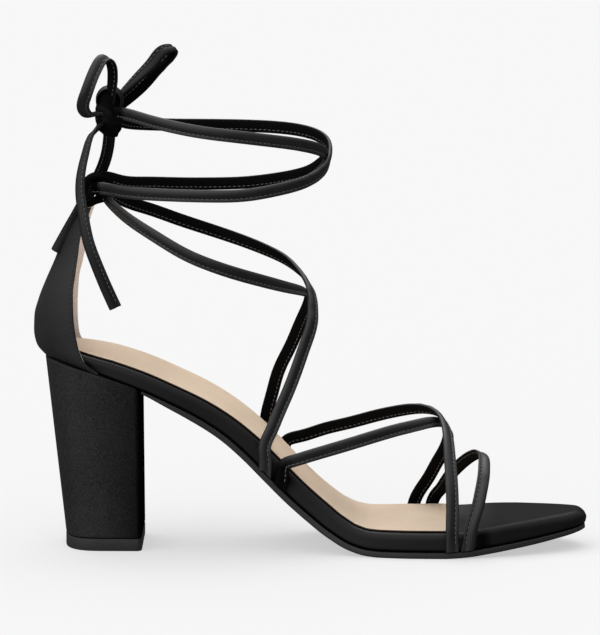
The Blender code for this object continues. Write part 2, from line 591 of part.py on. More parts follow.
def away_from(line, core):
    """Direction from the nearest point of the core to each point of the line."""
    apart = np.linalg.norm(line[:, None] - core[None], axis=2)
    return unit(line - core[apart.argmin(axis=1)])


def rim_direction(side, x):
    """Outward direction of the footbed's side at x."""
    name = "inner" if side == INNER else "outer"
    slope = float(sole(name, x + 0.5) - sole(name, x - 0.5))
    return unit(np.array([-slope, side, 0.0]))


def foot_points(end):
    """Route of a strap end beside the footbed: at the outsole, halfway up and just above the rim."""
    side, x_low, x_high = end
    name = "inner" if side == INNER else "outer"
    points = []
    for share in (0.0, 0.5, 1.0):
        x = x_low + (x_high - x_low) * share
        height = FOOT_ABOVE_OUTSOLE + (float(sole("board", x)) + FOOT_ABOVE_RIM) * share
        rim = on_sole(x, side * float(sole(name, x)), height)
        points.append(rim + rim_direction(side, x) * FOOT_CLEARANCE)
    return points


def strap_sections(line, outward, thickness):
    """Flat strap with rounded edges, its inner face on the line."""
    along = unit(np.gradient(line, axis=0))
    outward = unit(outward - along * np.sum(outward * along, axis=1, keepdims=True))
    across = np.cross(along, outward)
    half = STRAP_WIDTH / 2
    inset = STRAP_CORNER
    low, high = STRAP_EDGE
    profile = (
        (-half + inset, 0.0), (half - inset, 0.0), (half, low), (half, high),
        (half - inset, 1.0), (-half + inset, 1.0), (-half, high), (-half, low),
    )
    rings = [line + across * side + outward * (thickness * height)[:, None] for side, height in profile]
    return np.stack(rings, axis=1)


def smoothed(vectors, rounds):
    for _ in range(rounds):
        padded = np.concatenate([vectors[:1], vectors, vectors[-1:]])
        vectors = unit(padded[:-2] + 2 * padded[1:-1] + padded[2:])
    return vectors


def level_end(section, beside, end):
    """An end section slid along its strap, so that it is cut level with the outsole there."""
    side, x, _ = end
    up_x, up_z = sole_up(x)
    normal = np.array([up_x, 0.0, up_z])
    along = unit(beside.mean(axis=0) - section.mean(axis=0))
    edge = side * float(sole("inner" if side == INNER else "outer", x))
    above = (section - on_sole(x, edge, FOOT_ABOVE_OUTSOLE)) @ normal
    return section - along * (above / (along @ normal))[:, None]


def worn_strap(name, route, lean, start=None, end=None):
    """A strap that lies around the foot, pared down where an end is tucked in beside the footbed."""
    points = list(np.asarray(route, float))
    if start:
        points = foot_points(start) + points
    if end:
        points = points + foot_points(end)[::-1]
    line = curve_through(points, STRAP_STEP)
    core = curve_through(FOOT_CORE, 1.0)
    outward = smoothed(unit(away_from(line, core) * lean), 3)
    length = np.concatenate([[0.0], np.cumsum(np.linalg.norm(np.diff(line, axis=0), axis=1))])
    thickness = np.full(len(line), STRAP_THICKNESS)
    for tucked, from_end in ((start, length), (end, length[-1] - length)):
        if tucked:
            share = np.clip(from_end / STRAP_FOOT_TAPER, 0.0, 1.0)
            pared = STRAP_FOOT_THICKNESS + (STRAP_THICKNESS - STRAP_FOOT_THICKNESS) * share
            thickness = np.minimum(thickness, pared)
            blend = np.clip(STRAP_FOOT_TURN - from_end / STRAP_FOOT_TAPER, 0.0, 1.0)[:, None]
            outward = unit(outward * (1 - blend) + rim_direction(tucked[0], tucked[1]) * blend)
    sections = strap_sections(line, outward, thickness)
    if start:
        sections[0] = level_end(sections[0], sections[1], start)
    if end:
        sections[-1] = level_end(sections[-1], sections[-2], end)
    return loft(name, sections, BLACK_LEATHER)


def bow_strap(name, route, middle, axis=np.zeros(3)):
    """A free strap of the bow: its face turns away from a point or line, square to a loop's axis."""
    line = curve_through(route, BOW_STEP)
    outward = away_from(line, np.atleast_2d(np.asarray(middle, float)))
    outward = smoothed(unit(outward - (outward @ axis)[:, None] * axis), 2)
    along = unit(np.gradient(line, axis=0))
    outward = unit(outward - along * np.sum(outward * along, axis=1, keepdims=True))
    thickness = np.full(len(line), STRAP_THICKNESS)
    return loft(name, strap_sections(line - outward * STRAP_THICKNESS / 2, outward, thickness), BLACK_LEATHER)


def bow_knot():
    """Flattened ball where the ties are knotted."""
    shape = bmesh.new()
    bmesh.ops.create_icosphere(shape, subdivisions=2, radius=1.0)
    points = np.array([vertex.co for vertex in shape.verts]) * KNOT_RADII + KNOT_CENTRE
    faces = [tuple(vertex.index for vertex in face.verts) for face in shape.faces]
    shape.free()
    return add_object("bow_knot", points, faces, BLACK_LEATHER)


def straps():
    over = worn_strap("forefoot_straps", FOREFOOT_OVER, FOREFOOT_LEAN, *FOREFOOT_OVER_ENDS)
    unite(over, worn_strap("forefoot_under", FOREFOOT_UNDER, FOREFOOT_LEAN, *FOREFOOT_UNDER_ENDS))
    worn_strap("toe_strap", TOE_OVER, FOREFOOT_LEAN, *TOE_OVER_ENDS)
    instep = worn_strap("instep_straps", INSTEP_OVER, INSTEP_LEAN, start=INSTEP_OVER_END)
    unite(instep, worn_strap("instep_under", INSTEP_UNDER, INSTEP_LEAN, start=INSTEP_UNDER_END))
    ties = worn_strap("ankle_ties", TIE_OVER, TIE_LEAN)
    unite(ties, worn_strap("tie_under", TIE_UNDER, TIE_LEAN))


def bow():
    bow_knot()
    bow_strap("bow_loop_near", LOOP_NEAR, LOOP_NEAR_MIDDLE, unit(np.array(LOOP_NEAR_AXIS)))
    bow_strap("bow_loop_far", LOOP_FAR, LOOP_FAR_MIDDLE, unit(np.array(LOOP_FAR_AXIS)))
    bow_strap("tie_end_near", END_NEAR, np.linspace(*END_NEAR_CORE, 40))
    bow_strap("tie_end_far", END_FAR, np.linspace(*END_FAR_CORE, 40))


def main():
    for obj in list(bpy.data.objects):
        bpy.data.objects.remove(obj)
    top_lift()
    heel_block()
    outsole()
    footbed()
    sock_lining()
    heel_counter()
    straps()
    bow()


main()
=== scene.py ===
import math

import bmesh
import bpy
import numpy as np
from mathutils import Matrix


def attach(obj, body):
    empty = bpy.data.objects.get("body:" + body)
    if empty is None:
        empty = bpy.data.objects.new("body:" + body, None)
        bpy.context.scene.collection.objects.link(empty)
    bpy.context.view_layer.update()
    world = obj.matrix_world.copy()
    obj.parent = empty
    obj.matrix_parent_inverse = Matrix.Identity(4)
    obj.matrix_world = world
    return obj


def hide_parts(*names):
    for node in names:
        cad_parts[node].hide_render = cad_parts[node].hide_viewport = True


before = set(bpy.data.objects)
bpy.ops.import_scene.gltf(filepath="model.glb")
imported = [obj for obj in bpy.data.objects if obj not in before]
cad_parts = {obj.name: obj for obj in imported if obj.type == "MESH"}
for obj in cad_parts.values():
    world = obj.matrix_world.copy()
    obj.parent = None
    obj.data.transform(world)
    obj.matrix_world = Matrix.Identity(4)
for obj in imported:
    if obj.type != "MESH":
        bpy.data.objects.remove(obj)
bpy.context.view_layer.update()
print("frame loaded")

mm = 0.001  # sizes below are millimetres, addPiece turns them into metres
chance = np.random.default_rng(21)


# Camera, light and floor

view = {
    "turn": 1.2, "rise": 9.0,  # degrees round the shoe and above the floor
    "distance": 5000.0, "target": (-3.8, 0.0, 96.0),
    "mmPerPixel": 0.42, "pixelsWide": 600, "sensor": 36.0, "farthest": 30.0,
}
studio = {
    "overhead": 0.85, "overheadFrom": (0.05, 0.95), "horizon": 0.07,
    "fromLeft": 0.5, "leftWay": (-0.62, -0.42, 0.66), "leftFrom": (0.2, 1.0),
    "fromFront": 0.50, "frontWay": (-0.50, -0.82, 0.28), "frontFrom": (0.4, 1.0),
    "keyStrength": 0.95, "keyAngle": 45.0, "keyTilt": (-32.0, -6.0),
    "floorHalf": 4.0, "floorColour": (0.352, 0.352, 0.352), "floorGlow": 0.52,
}


def addCamera():
    # stands on a sphere round the target, lens long enough that the photo's width is pixelsWide * mmPerPixel
    turn = math.radians(view["turn"])
    rise = math.radians(view["rise"])
    away = np.array([math.cos(rise) * math.sin(turn), -math.cos(rise) * math.cos(turn), math.sin(rise)])
    data = bpy.data.cameras.new("camera")
    data.sensor_fit = "HORIZONTAL"
    data.sensor_width = view["sensor"]
    data.lens = view["sensor"] * view["distance"] / (view["mmPerPixel"] * view["pixelsWide"])
    data.clip_end = view["farthest"]
    camera = bpy.data.objects.new("camera", data)
    camera.location = (np.array(view["target"]) + away * view["distance"]) * mm
    camera.rotation_euler = (math.pi / 2 - rise, 0.0, turn)
    bpy.context.scene.collection.objects.link(camera)
    bpy.context.scene.camera = camera


# Shader maths: a Wire is a socket, and + - * on it add Math nodes

class Wire:
    def __init__(self, tree, socket=None):
        self.tree = tree
        self.socket = socket

    def node(self, kind, settings=None, sockets=None, out=0):
        # a new node, its sockets linked or set, and one of its outputs as a wire
        made = self.tree.nodes.new(kind)
        for name, value in (settings or {}).items():
            setattr(made, name, value)
        for name, value in (sockets or {}).items():
            if isinstance(value, Wire):
                self.tree.links.new(value.socket, made.inputs[name])
            else:
                made.inputs[name].default_value = value
        return Wire(self.tree, made.outputs[out])

    def maths(self, operation, left, right):
        return self.node("ShaderNodeMath", {"operation": operation}, {0: left, 1: right})

    def __add__(self, other):
        return self.maths("ADD", self, other)

    def __sub__(self, other):
        return self.maths("SUBTRACT", self, other)

    def __rsub__(self, other):
        return self.maths("SUBTRACT", other, self)

    def __mul__(self, other):
        return self.maths("MULTIPLY", self, other)

    __radd__ = __add__
    __rmul__ = __mul__

    def between(self, low, high):
        # 0 below low, 1 above high and smooth in the middle
        return self.node("ShaderNodeMapRange", {"interpolation_type": "SMOOTHSTEP"},
                         {"Value": self, "From Min": low, "From Max": high})

    def mix(self, first, second):
        # this wire's value picks between two colours
        pair = {0: self, 6: first, 7: second}
        return self.node("ShaderNodeMix", {"data_type": "RGBA"}, pair, out=2)

    def towards(self, way):
        # how far this direction points along a given one
        return self.node("ShaderNodeVectorMath", {"operation": "DOT_PRODUCT"}, {0: self, 1: way}, out=1)

    def noise(self, scale, detail):
        # cloudy values at this place
        return self.node("ShaderNodeTexNoise", {}, {"Vector": self, "Scale": scale, "Detail": detail})

    def bump(self, look):
        # this height as a relief of the look's strength and depth
        relief = {"Strength": look["relief"], "Distance": look["depth"], "Height": self}
        return self.node("ShaderNodeBump", {}, relief)


def newLook(name):
    # a material, the wire of places on the object, and its shader
    look = bpy.data.materials.new(name)
    look.use_nodes = True
    place = Wire(look.node_tree).node("ShaderNodeTexCoord", out="Object")
    return look, place, look.node_tree.nodes["Principled BSDF"]


def feed(shader, values):
    # links wires and sets plain numbers on the shader's own sockets
    for name, value in values.items():
        if isinstance(value, Wire):
            value.tree.links.new(value.socket, shader.inputs[name])
        else:
            shader.inputs[name].default_value = value


def opaque(colour):
    # a colour with full alpha
    return (*colour, 1.0)


def addLight():
    # light from far away, so that the floor is evenly lit: bright overhead, dim at the horizon, more from
    # the left and the front, and a broad sun from behind
    world = bpy.data.worlds.new("studio")
    world.use_nodes = True
    bpy.context.scene.world = world
    bpy.context.scene.view_settings.view_transform = "Standard"
    way = Wire(world.node_tree).node("ShaderNodeTexCoord", out="Generated")
    height = way.node("ShaderNodeSeparateXYZ", {}, {0: way}, out=2)
    overhead = height.between(*studio["overheadFrom"]) * (studio["overhead"] - studio["horizon"])
    left = way.towards(studio["leftWay"]).between(*studio["leftFrom"]) * studio["fromLeft"]
    front = way.towards(studio["frontWay"]).between(*studio["frontFrom"]) * studio["fromFront"]
    light = studio["horizon"] + overhead + (left + front)
    feed(world.node_tree.nodes["Background"], {"Strength": light, "Color": (1.0, 1.0, 1.0, 1.0)})
    lamp = bpy.data.lights.new("key", "SUN")
    lamp.energy = studio["keyStrength"]
    lamp.angle = math.radians(studio["keyAngle"])
    key = bpy.data.objects.new("key", lamp)
    key.rotation_euler = (*np.radians(studio["keyTilt"]), 0.0)
    bpy.context.scene.collection.objects.link(key)


def addFloor():
    # a wide pale square that glows a little, so that shadows stay soft
    mesh = bpy.data.meshes.new("floor")
    half = studio["floorHalf"]
    corners = [(-half, -half, 0), (half, -half, 0), (half, half, 0), (-half, half, 0)]
    mesh.from_pydata(corners, [], [(0, 1, 2, 3)])
    look = bpy.data.materials.new("pale_floor")
    look.use_nodes = True
    feed(look.node_tree.nodes["Principled BSDF"], {
        "Base Color": opaque(studio["floorColour"]), "Roughness": 1.0, "Specular IOR Level": 0.0,
        "Emission Color": (1.0, 1.0, 1.0, 1.0), "Emission Strength": studio["floorGlow"],
    })
    mesh.materials.append(look)
    floor = bpy.data.objects.new("floor", mesh)
    bpy.context.scene.collection.objects.link(floor)
    floor.visible_glossy = False


addCamera()
addLight()
addFloor()
print("camera, light and floor")


# Finishes

def grainOf(place, look):
    # pebbles with pores between them, as one height
    cells = place.node("ShaderNodeTexVoronoi", {}, {"Vector": place, "Scale": look["pebbles"]})
    pores = place.noise(look["pores"], look["poreDetail"])
    return cells * look["pebbleShare"] + pores * look["poreShare"], pores


def shadeOf(place):
    # the shade that is stored with each point of a mesh
    return place.node("ShaderNodeAttribute", {"attribute_name": "shade"}, out=2)


def hide(name, own):
    # black leather: grain in the bump, gloss and tone that drift, fading to a matt black painted shade
    # where the shade says
    look = {**leather, **own}
    material, place, shader = newLook(name)
    grain, pores = grainOf(place, look)
    drift = place.noise(look["drift"], look["driftDetail"])
    fleck = pores.between(*look["fleckFrom"])
    tone = drift.between(*look["driftFrom"]) * (1 - look["fleck"]) + fleck * look["fleck"]
    rough = look["rough"] + (drift - 0.5) * look["drifting"] + (pores - 0.5) * look["speckle"]
    bump = grain.bump(look)
    feed(shader, {"Base Color": tone.mix(opaque(look["dark"]), opaque(look["light"])), "Roughness": rough,
                  "Normal": bump, "Specular IOR Level": look["specular"], "Coat Weight": look["coat"],
                  "Coat Roughness": look["coatRough"]})
    glossy = Wire(material.node_tree, shader.outputs[0])
    paintedShade = place.node("ShaderNodeBsdfDiffuse", {}, {"Color": opaque(look["shaded"]), "Normal": bump})
    mixed = place.node("ShaderNodeMixShader", {}, {0: shadeOf(place), 1: glossy, 2: paintedShade})
    feed(material.node_tree.nodes["Material Output"], {"Surface": mixed})
    return material


def sockHide(name, own):
    # lining leather: soft mottling, fine pores, another colour where the shade attribute says (the sock's cut
    # edge, or painted shade low on the counter lining), and painted light and shade at seat, waist and ball
    look = {**liningLeather, **own}
    material, place, shader = newLook(name)
    grain, pores = grainOf(place, look)
    mottle = place.noise(look["drift"], look["driftDetail"]).between(*look["driftFrom"])
    along = place.node("ShaderNodeSeparateXYZ", {}, {0: place})
    # painted light and shade: the seat, waist and ball each get their own brightness
    pairs = [(look["dark"] * part, look["light"] * part) for part in look["parts"]]
    seat, waist, ball = [mottle.mix(opaque(dark), opaque(light)) for dark, light in pairs]
    behind = along.between(*look["waistFrom"]).mix(seat, waist)
    whole = along.between(*look["ballFrom"]).mix(behind, ball)
    feed(shader, {"Base Color": shadeOf(place).mix(whole, opaque(look["edge"])), "Normal": grain.bump(look),
                  "Roughness": look["rough"] + (pores - 0.5) * look["speckle"],
                  "Specular IOR Level": look["specular"]})
    return material


def rubber(name, own):
    # moulded rubber: fine speckle in tone, gloss and bump
    look = {**moulded, **own}
    material, place, shader = newLook(name)
    speckle = place.noise(look["speckleScale"], look["detail"])
    tone = speckle.between(*look["toneFrom"]).mix(opaque(look["dark"]), opaque(look["light"]))
    feed(shader, {"Base Color": tone, "Roughness": look["rough"] + (speckle - 0.5) * look["speckle"],
                  "Normal": speckle.bump(look), "Specular IOR Level": look["specular"]})
    return material


def thread(name, own):
    # twisted sewing thread: fine lumps in the bump and the gloss
    look = {**sewing, **own}
    material, place, shader = newLook(name)
    twist = place.noise(look["twist"], look["detail"])
    rough = look["rough"] + (twist - 0.5) * look["speckle"]
    feed(shader, {"Base Color": opaque(look["colour"]), "Roughness": rough, "Normal": twist.bump(look),
                  "Specular IOR Level": look["specular"]})
    return material


leather = {
    "pebbles": 2300.0, "pebbleShare": 0.7, "pores": 2600.0, "poreShare": 0.5, "poreDetail": 4.0,
    "drift": 90.0, "driftDetail": 2.0, "driftFrom": (0.3, 0.7), "fleck": 0.5, "fleckFrom": (0.36, 0.64),
    "relief": 0.2, "depth": 0.00025, "coat": 0.0, "coatRough": 0.4,
}
strapHide = hide("strap_leather", {
    "dark": (0.005, 0.005, 0.0052), "light": (0.009, 0.009, 0.0093), "shaded": (0.002, 0.002, 0.002),
    "rough": 0.46, "drifting": 0.16, "speckle": 0.12, "relief": 0.22, "specular": 0.56,
    "coat": 0.04, "coatRough": 0.35,
})
# a darker, matt copy of the strap leather: painted shade for the straps' inner faces and the knot's core
strapPaintedShade = hide("strap_painted_shade", {
    "dark": (0.0012, 0.0012, 0.0012), "light": (0.0025, 0.0025, 0.0026), "shaded": (0.001, 0.001, 0.001),
    "rough": 0.72, "drifting": 0.1, "speckle": 0.1, "depth": 0.0002, "specular": 0.06,
})
upperHide = hide("upper_leather", {
    "pebbles": 1900.0, "pores": 2200.0, "drift": 55.0,
    "dark": (0.008, 0.008, 0.0081), "light": (0.015, 0.015, 0.0152), "shaded": (0.002, 0.002, 0.002),
    "rough": 0.5, "drifting": 0.14, "speckle": 0.14, "relief": 0.24, "depth": 0.0003, "specular": 0.32,
    "coat": 0.02,
})
footbedHide = hide("footbed_cover", {
    "pebbles": 2000.0, "pores": 2400.0, "drift": 50.0,
    "dark": (0.0035, 0.0035, 0.0036), "light": (0.0055, 0.0055, 0.0057), "shaded": (0.0015, 0.0015, 0.0015),
    "rough": 0.46, "drifting": 0.12, "speckle": 0.12, "specular": 0.22, "coat": 0.02,
})
heelHide = hide("heel_cover", {
    "pebbles": 1700.0, "pores": 1500.0, "drift": 45.0, "fleck": 0.8,
    "dark": (0.004, 0.004, 0.0041), "light": (0.019, 0.019, 0.0193), "shaded": (0.001, 0.001, 0.001),
    "rough": 0.52, "drifting": 0.1, "speckle": 0.2, "relief": 0.3, "depth": 0.0003, "specular": 0.27,
})
liningLeather = {
    "pebbles": 1500.0, "pebbleShare": 0.7, "pores": 3000.0, "poreShare": 0.5, "poreDetail": 4.0,
    "drift": 38.0, "driftDetail": 5.0, "driftFrom": (0.3, 0.72),
    "waistFrom": (-0.07, -0.03), "ballFrom": (-0.015, 0.025),  # metres along the shoe
    "rough": 0.58, "speckle": 0.16, "relief": 0.12, "depth": 0.0002,
}
beigeSock = sockHide("sock_leather", {
    "dark": np.array((0.77, 0.595, 0.435)), "light": np.array((0.83, 0.66, 0.495)),
    # parts: painted light at the waist and painted shade at the ball
    "parts": (1.0, 1.12, 0.86), "edge": (0.05, 0.028, 0.018), "specular": 0.35,
})
paleLining = sockHide("counter_lining", {
    "dark": np.array((0.90, 0.76, 0.66)), "light": np.array((0.95, 0.83, 0.74)),
    # edge: near black, the painted shade on the lining's low part
    "parts": (1.0, 1.0, 1.0), "edge": (0.006, 0.005, 0.004), "specular": 0.3,
})
moulded = {"detail": 3.0, "toneFrom": (0.35, 0.65), "speckle": 0.25, "depth": 0.0002}
outsoleRubber = rubber("outsole_rubber", {
    "speckleScale": 2600.0, "dark": (0.010, 0.010, 0.0102), "light": (0.016, 0.016, 0.0163),
    "rough": 0.5, "relief": 0.18, "specular": 0.45,
})
liftRubber = rubber("top_lift_rubber", {
    "speckleScale": 2200.0, "dark": (0.012, 0.012, 0.0122), "light": (0.02, 0.02, 0.0203),
    "rough": 0.62, "relief": 0.25, "specular": 0.4,
})
sewing = {"twist": 5200.0, "detail": 2.0, "speckle": 0.2, "relief": 0.5, "depth": 0.0001}
blackThread = thread("black_thread", {"colour": (0.05, 0.05, 0.051), "rough": 0.3, "specular": 0.9})
dullThread = thread("dull_thread", {"colour": (0.016, 0.016, 0.0163), "rough": 0.45, "specular": 0.4})
print("finishes")


# Curves and meshes from arrays

drawing = {"samples": 60, "fewest": 8}  # fine points for each point of a route, fewest steps of a line


def unit(vectors):
    # directions of length 1
    return vectors / np.linalg.norm(vectors, axis=-1, keepdims=True)


def fraction(values):
    # values held between 0 and 1
    return np.clip(values, 0.0, 1.0)


def ramp(values, start, full):
    # 0 up to a start, 1 from full on
    return fraction((values - start) / (full - start))


def squareTo(ways, along):
    # directions turned square to others
    return unit(ways - along * np.sum(ways * along, axis=1, keepdims=True))


def sampled(at, places, values):
    # vectors along a line, read at other places
    return np.column_stack([np.interp(at, places, values[:, k]) for k in range(3)])


def throughRows(xs, ys, at):
    # cubic through the rows of a table that never swings past them
    xs = np.asarray(xs, float)
    ys = np.asarray(ys, float)
    at = np.asarray(at, float)
    steps = np.diff(xs)
    rises = np.diff(ys) / steps
    sameWay = rises[:-1] * rises[1:] > 0
    total = np.where(sameWay, rises[:-1] + rises[1:], 1.0)
    middle = np.where(sameWay, 2 * rises[:-1] * rises[1:] / total, 0.0)
    slopes = np.concatenate([rises[:1], middle, rises[-1:]])
    row = np.clip(np.searchsorted(xs, at) - 1, 0, len(steps) - 1)
    part = fraction((at - xs[row]) / steps[row])
    rest = 1 - part
    ends = ys[row] * (1 + 2 * part) * rest**2 + ys[row + 1] * (3 - 2 * part) * part**2
    return ends + (slopes[row] * part * rest**2 - slopes[row + 1] * rest * part**2) * steps[row]


def curveThrough(points, step):
    # evenly spaced points on the natural cubic spline through a route
    points = np.asarray(points, float)
    spans = np.linalg.norm(np.diff(points, axis=0), axis=1)
    knots = np.append(0.0, np.cumsum(spans))
    rises = np.diff(points, axis=0) / spans[:, None]
    middle = np.concatenate([[2.0], 2 * (spans[:-1] + spans[1:]), [2.0]])
    matrix = np.diag(middle) + np.diag(np.append(spans[1:], 1.0), -1) + np.diag(np.append(1.0, spans[:-1]), 1)
    inside = spans[1:, None] * rises[:-1] + spans[:-1, None] * rises[1:]
    slopes = np.linalg.solve(matrix, 3 * np.concatenate([rises[:1], inside, rises[-1:]]))
    fine = np.linspace(0, knots[-1], drawing["samples"] * len(points))
    row = np.clip(np.searchsorted(knots, fine) - 1, 0, len(points) - 2)
    span = spans[row][:, None]
    part = (fine - knots[row])[:, None] / span
    rest = 1 - part
    line = points[row] * (1 + 2 * part) * rest**2 + points[row + 1] * (3 - 2 * part) * part**2
    line += (slopes[row] * part * rest**2 - slopes[row + 1] * rest * part**2) * span
    places = lengthsOf(line)
    even = np.linspace(0, places[-1], max(drawing["fewest"], round(places[-1] / step)) + 1)
    return sampled(even, places, line)


def lengthsOf(line):
    # distance along a line at each of its points
    return np.append(0.0, np.cumsum(np.linalg.norm(np.diff(line, axis=0), axis=1)))


def ringQuads(count, around, closed=False):
    # quads between equal rings in a row; open rows end in caps of quads that run across the ring
    rows = np.arange(count if closed else count - 1)[:, None] * around
    here = np.arange(around)[None]
    after = (here + 1) % around
    beyond = (rows + around) % (count * around)
    sides = np.stack([rows + here, rows + after, beyond + after, beyond + here], axis=-1).reshape(-1, 4)
    if closed:
        return sides
    i = np.arange(around // 2 - 1)
    cap = np.stack([i, i + 1, around - 2 - i, around - 1 - i], axis=-1)
    return np.concatenate([sides, cap[:, ::-1], cap + (count - 1) * around])


def sheetQuads(rows, columns):
    # a top grid, an under grid after it, and the rim that joins them
    size = rows * columns
    index = np.arange(size).reshape(rows, columns)
    top = np.stack([index[:-1, :-1], index[:-1, 1:], index[1:, 1:], index[1:, :-1]], axis=-1).reshape(-1, 4)
    rim = np.concatenate([index[0, :], index[1:, -1], index[-1, -2::-1], index[-2:0:-1, 0]])
    after = np.roll(rim, -1)
    sides = np.stack([after, rim, rim + size, after + size], axis=-1)
    return np.concatenate([top, top[:, ::-1] + size, sides])


def copiesOf(quads, size, count):
    # the same quads again for each of a number of equal meshes in a row
    return (quads[None] + np.arange(count)[:, None, None] * size).reshape(-1, 4)


def addPiece(name, points, quads, look, nodes=(), shade=None, sharp=40.0):
    # a mesh in place, faces turned outwards, riding on the one body
    points = np.asarray(points, float).reshape(-1, 3)
    mesh = bpy.data.meshes.new(name)
    mesh.vertices.add(len(points))
    mesh.vertices.foreach_set("co", (points * mm).ravel())
    mesh.loops.add(quads.size)
    mesh.loops.foreach_set("vertex_index", quads.ravel().astype(np.int32))
    mesh.polygons.add(len(quads))
    mesh.polygons.foreach_set("loop_start", np.arange(0, quads.size, 4, dtype=np.int32))
    mesh.update(calc_edges=True)
    shape = bmesh.new()
    shape.from_mesh(mesh)
    bmesh.ops.recalc_face_normals(shape, faces=shape.faces)
    if shape.calc_volume(signed=True) < 0:
        bmesh.ops.reverse_faces(shape, faces=shape.faces)
    shape.to_mesh(mesh)
    shape.free()
    mesh.shade_smooth()
    mesh.set_sharp_from_angle(angle=math.radians(sharp))
    values = np.zeros(len(points)) if shade is None else np.asarray(shade, float).ravel()
    mesh.attributes.new("shade", "FLOAT", "POINT").data.foreach_set("value", values)
    mesh.materials.append(look)
    piece = bpy.data.objects.new(name, mesh)
    bpy.context.scene.collection.objects.link(piece)
    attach(piece, "root")
    if nodes:
        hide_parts(*nodes)
    return piece


def addLoft(name, rings, look, shade=None, sharp=60.0):
    # a closed skin over equal rings, in place of the node of the same name
    addPiece(name, rings, ringQuads(*rings.shape[:2]), look, [name], shade, sharp)


def addSheet(name, top, under, shades, look, node):
    # two grids of points with their shades, and the rim between them
    quads = sheetQuads(*top.shape[:2])
    addPiece(name, np.stack([top, under]), quads, look, [node], np.stack(shades), sharp=50.0)


# Sole unit: the same table as the solids, a row for each section from heel to toe

sole = {
    "columns": ("x", "seat", "inner", "outer", "board", "lift", "cant", "outsole"),
    "rows": (
        (-108.3, 81.2, 0.0, 0.0, 5.4, 0.0, 0.0, 1.2), (-104.0, 80.2, 13.4, 13.4, 5.5, 0.0, 0.0, 1.2),
        (-100.0, 79.1, 17.8, 17.8, 5.6, 0.0, 0.0, 1.2), (-94.0, 77.4, 21.8, 21.8, 5.8, 0.0, 0.0, 1.2),
        (-88.0, 75.6, 23.9, 23.9, 6.0, 0.0, 0.0, 1.2), (-80.0, 72.9, 25.3, 25.4, 6.3, 0.0, 0.0, 1.2),
        (-70.0, 69.2, 26.2, 26.4, 6.5, 0.0, 0.0, 1.2), (-58.0, 63.8, 26.5, 26.9, 6.6, 0.0, 0.0, 2.0),
        (-47.0, 58.2, 26.2, 27.3, 6.8, 0.0, 0.0, 2.5), (-36.0, 51.2, 25.9, 27.7, 6.9, 0.0, 0.0, 2.6),
        (-26.0, 42.6, 25.8, 28.2, 7.2, 0.0, 0.0, 2.6), (-16.0, 32.2, 26.2, 28.9, 7.5, 0.3, 0.0, 2.6),
        (-7.0, 22.9, 26.9, 29.7, 7.6, 0.7, 0.0, 2.6), (2.0, 14.8, 28.1, 30.9, 7.6, 1.0, 0.0, 2.6),
        (10.0, 8.8, 29.8, 32.5, 7.4, 0.9, 0.0, 2.6), (18.0, 4.8, 32.0, 34.6, 7.2, 0.4, 0.2, 2.6),
        (25.0, 3.2, 34.1, 36.3, 7.1, 0.1, 0.4, 2.6), (31.0, 2.9, 35.6, 37.4, 7.1, 0.0, 0.5, 2.6),
        (44.0, 2.9, 37.6, 38.6, 7.1, 0.0, 0.5, 2.6), (57.0, 2.9, 37.9, 37.5, 7.3, 0.0, 0.3, 2.6),
        (66.0, 3.3, 36.9, 35.4, 7.6, 0.0, 0.0, 2.6), (76.0, 4.5, 34.3, 31.6, 7.8, 0.0, 0.0, 2.6),
        (86.0, 5.8, 30.4, 26.2, 7.7, 0.0, 0.0, 2.5), (95.0, 7.0, 25.9, 20.6, 7.4, 0.0, 0.0, 2.4),
        (103.0, 8.2, 21.4, 15.0, 7.0, 0.0, 0.0, 2.2), (109.0, 9.2, 17.4, 9.8, 6.6, 0.0, 0.0, 2.1),
        (113.5, 10.0, 13.0, 4.4, 6.2, 0.0, 0.0, 2.0), (116.0, 10.5, 5.2, -5.2, 5.9, 0.0, 0.0, 1.9),
    ),
    "heelEnd": -108.3, "toeEnd": 116.0, "endAngle": 0.035, "stations": 170,
    "flareStart": -84.0, "flareBack": 0.8, "flareSide": 0.028,
    "slopeReach": 0.25, "rimReach": 0.5, "leastHalf": 1.0, "leastStep": 0.5,
}
inner, outer = -1, 1  # the sign of y on each side of the shoe


def soleAngle(x):
    # heel to toe as a half circle
    share = (np.asarray(x, float) - sole["heelEnd"]) / (sole["toeEnd"] - sole["heelEnd"])
    return np.arccos(np.clip(1 - 2 * share, -1.0, 1.0))


def soleAt(name, x):
    # a column of the table at any place along the shoe
    table = np.array(sole["rows"])
    places = table[:, 0]
    values = table[:, sole["columns"].index(name)]
    if name in ("inner", "outer"):
        return throughRows(soleAngle(places), values, soleAngle(x))
    return throughRows(places, values, x)


def soleUp(x):
    # x and z parts of the direction square to the sole's slope
    reach = sole["slopeReach"]
    slope = (soleAt("seat", x + reach) - soleAt("seat", x - reach)) / (2 * reach)
    length = np.sqrt(1 + slope**2)
    return -slope / length, 1 / length


def onSole(x, y, height):
    # points at a height above the footbed's underside, leaning back at the heel and twisted at the waist
    x, y, height = np.broadcast_arrays(np.asarray(x, float), np.asarray(y, float), np.asarray(height, float))
    upX, upZ = soleUp(x)
    half = np.where(y < 0, soleAt("inner", x), np.maximum(soleAt("outer", x), sole["leastHalf"]))
    share = fraction(height / soleAt("board", x))
    tilt = -y / half * (soleAt("lift", x) + soleAt("cant", x) * share)
    flare = ramp(x, sole["flareStart"], sole["heelEnd"])
    above = np.maximum(height, 0.0)
    px = x + upX * height - sole["flareBack"] * above * flare
    py = y * (1 + sole["flareSide"] * above * flare)
    return np.stack([px, py, soleAt("seat", x) + upZ * height + tilt], axis=-1)


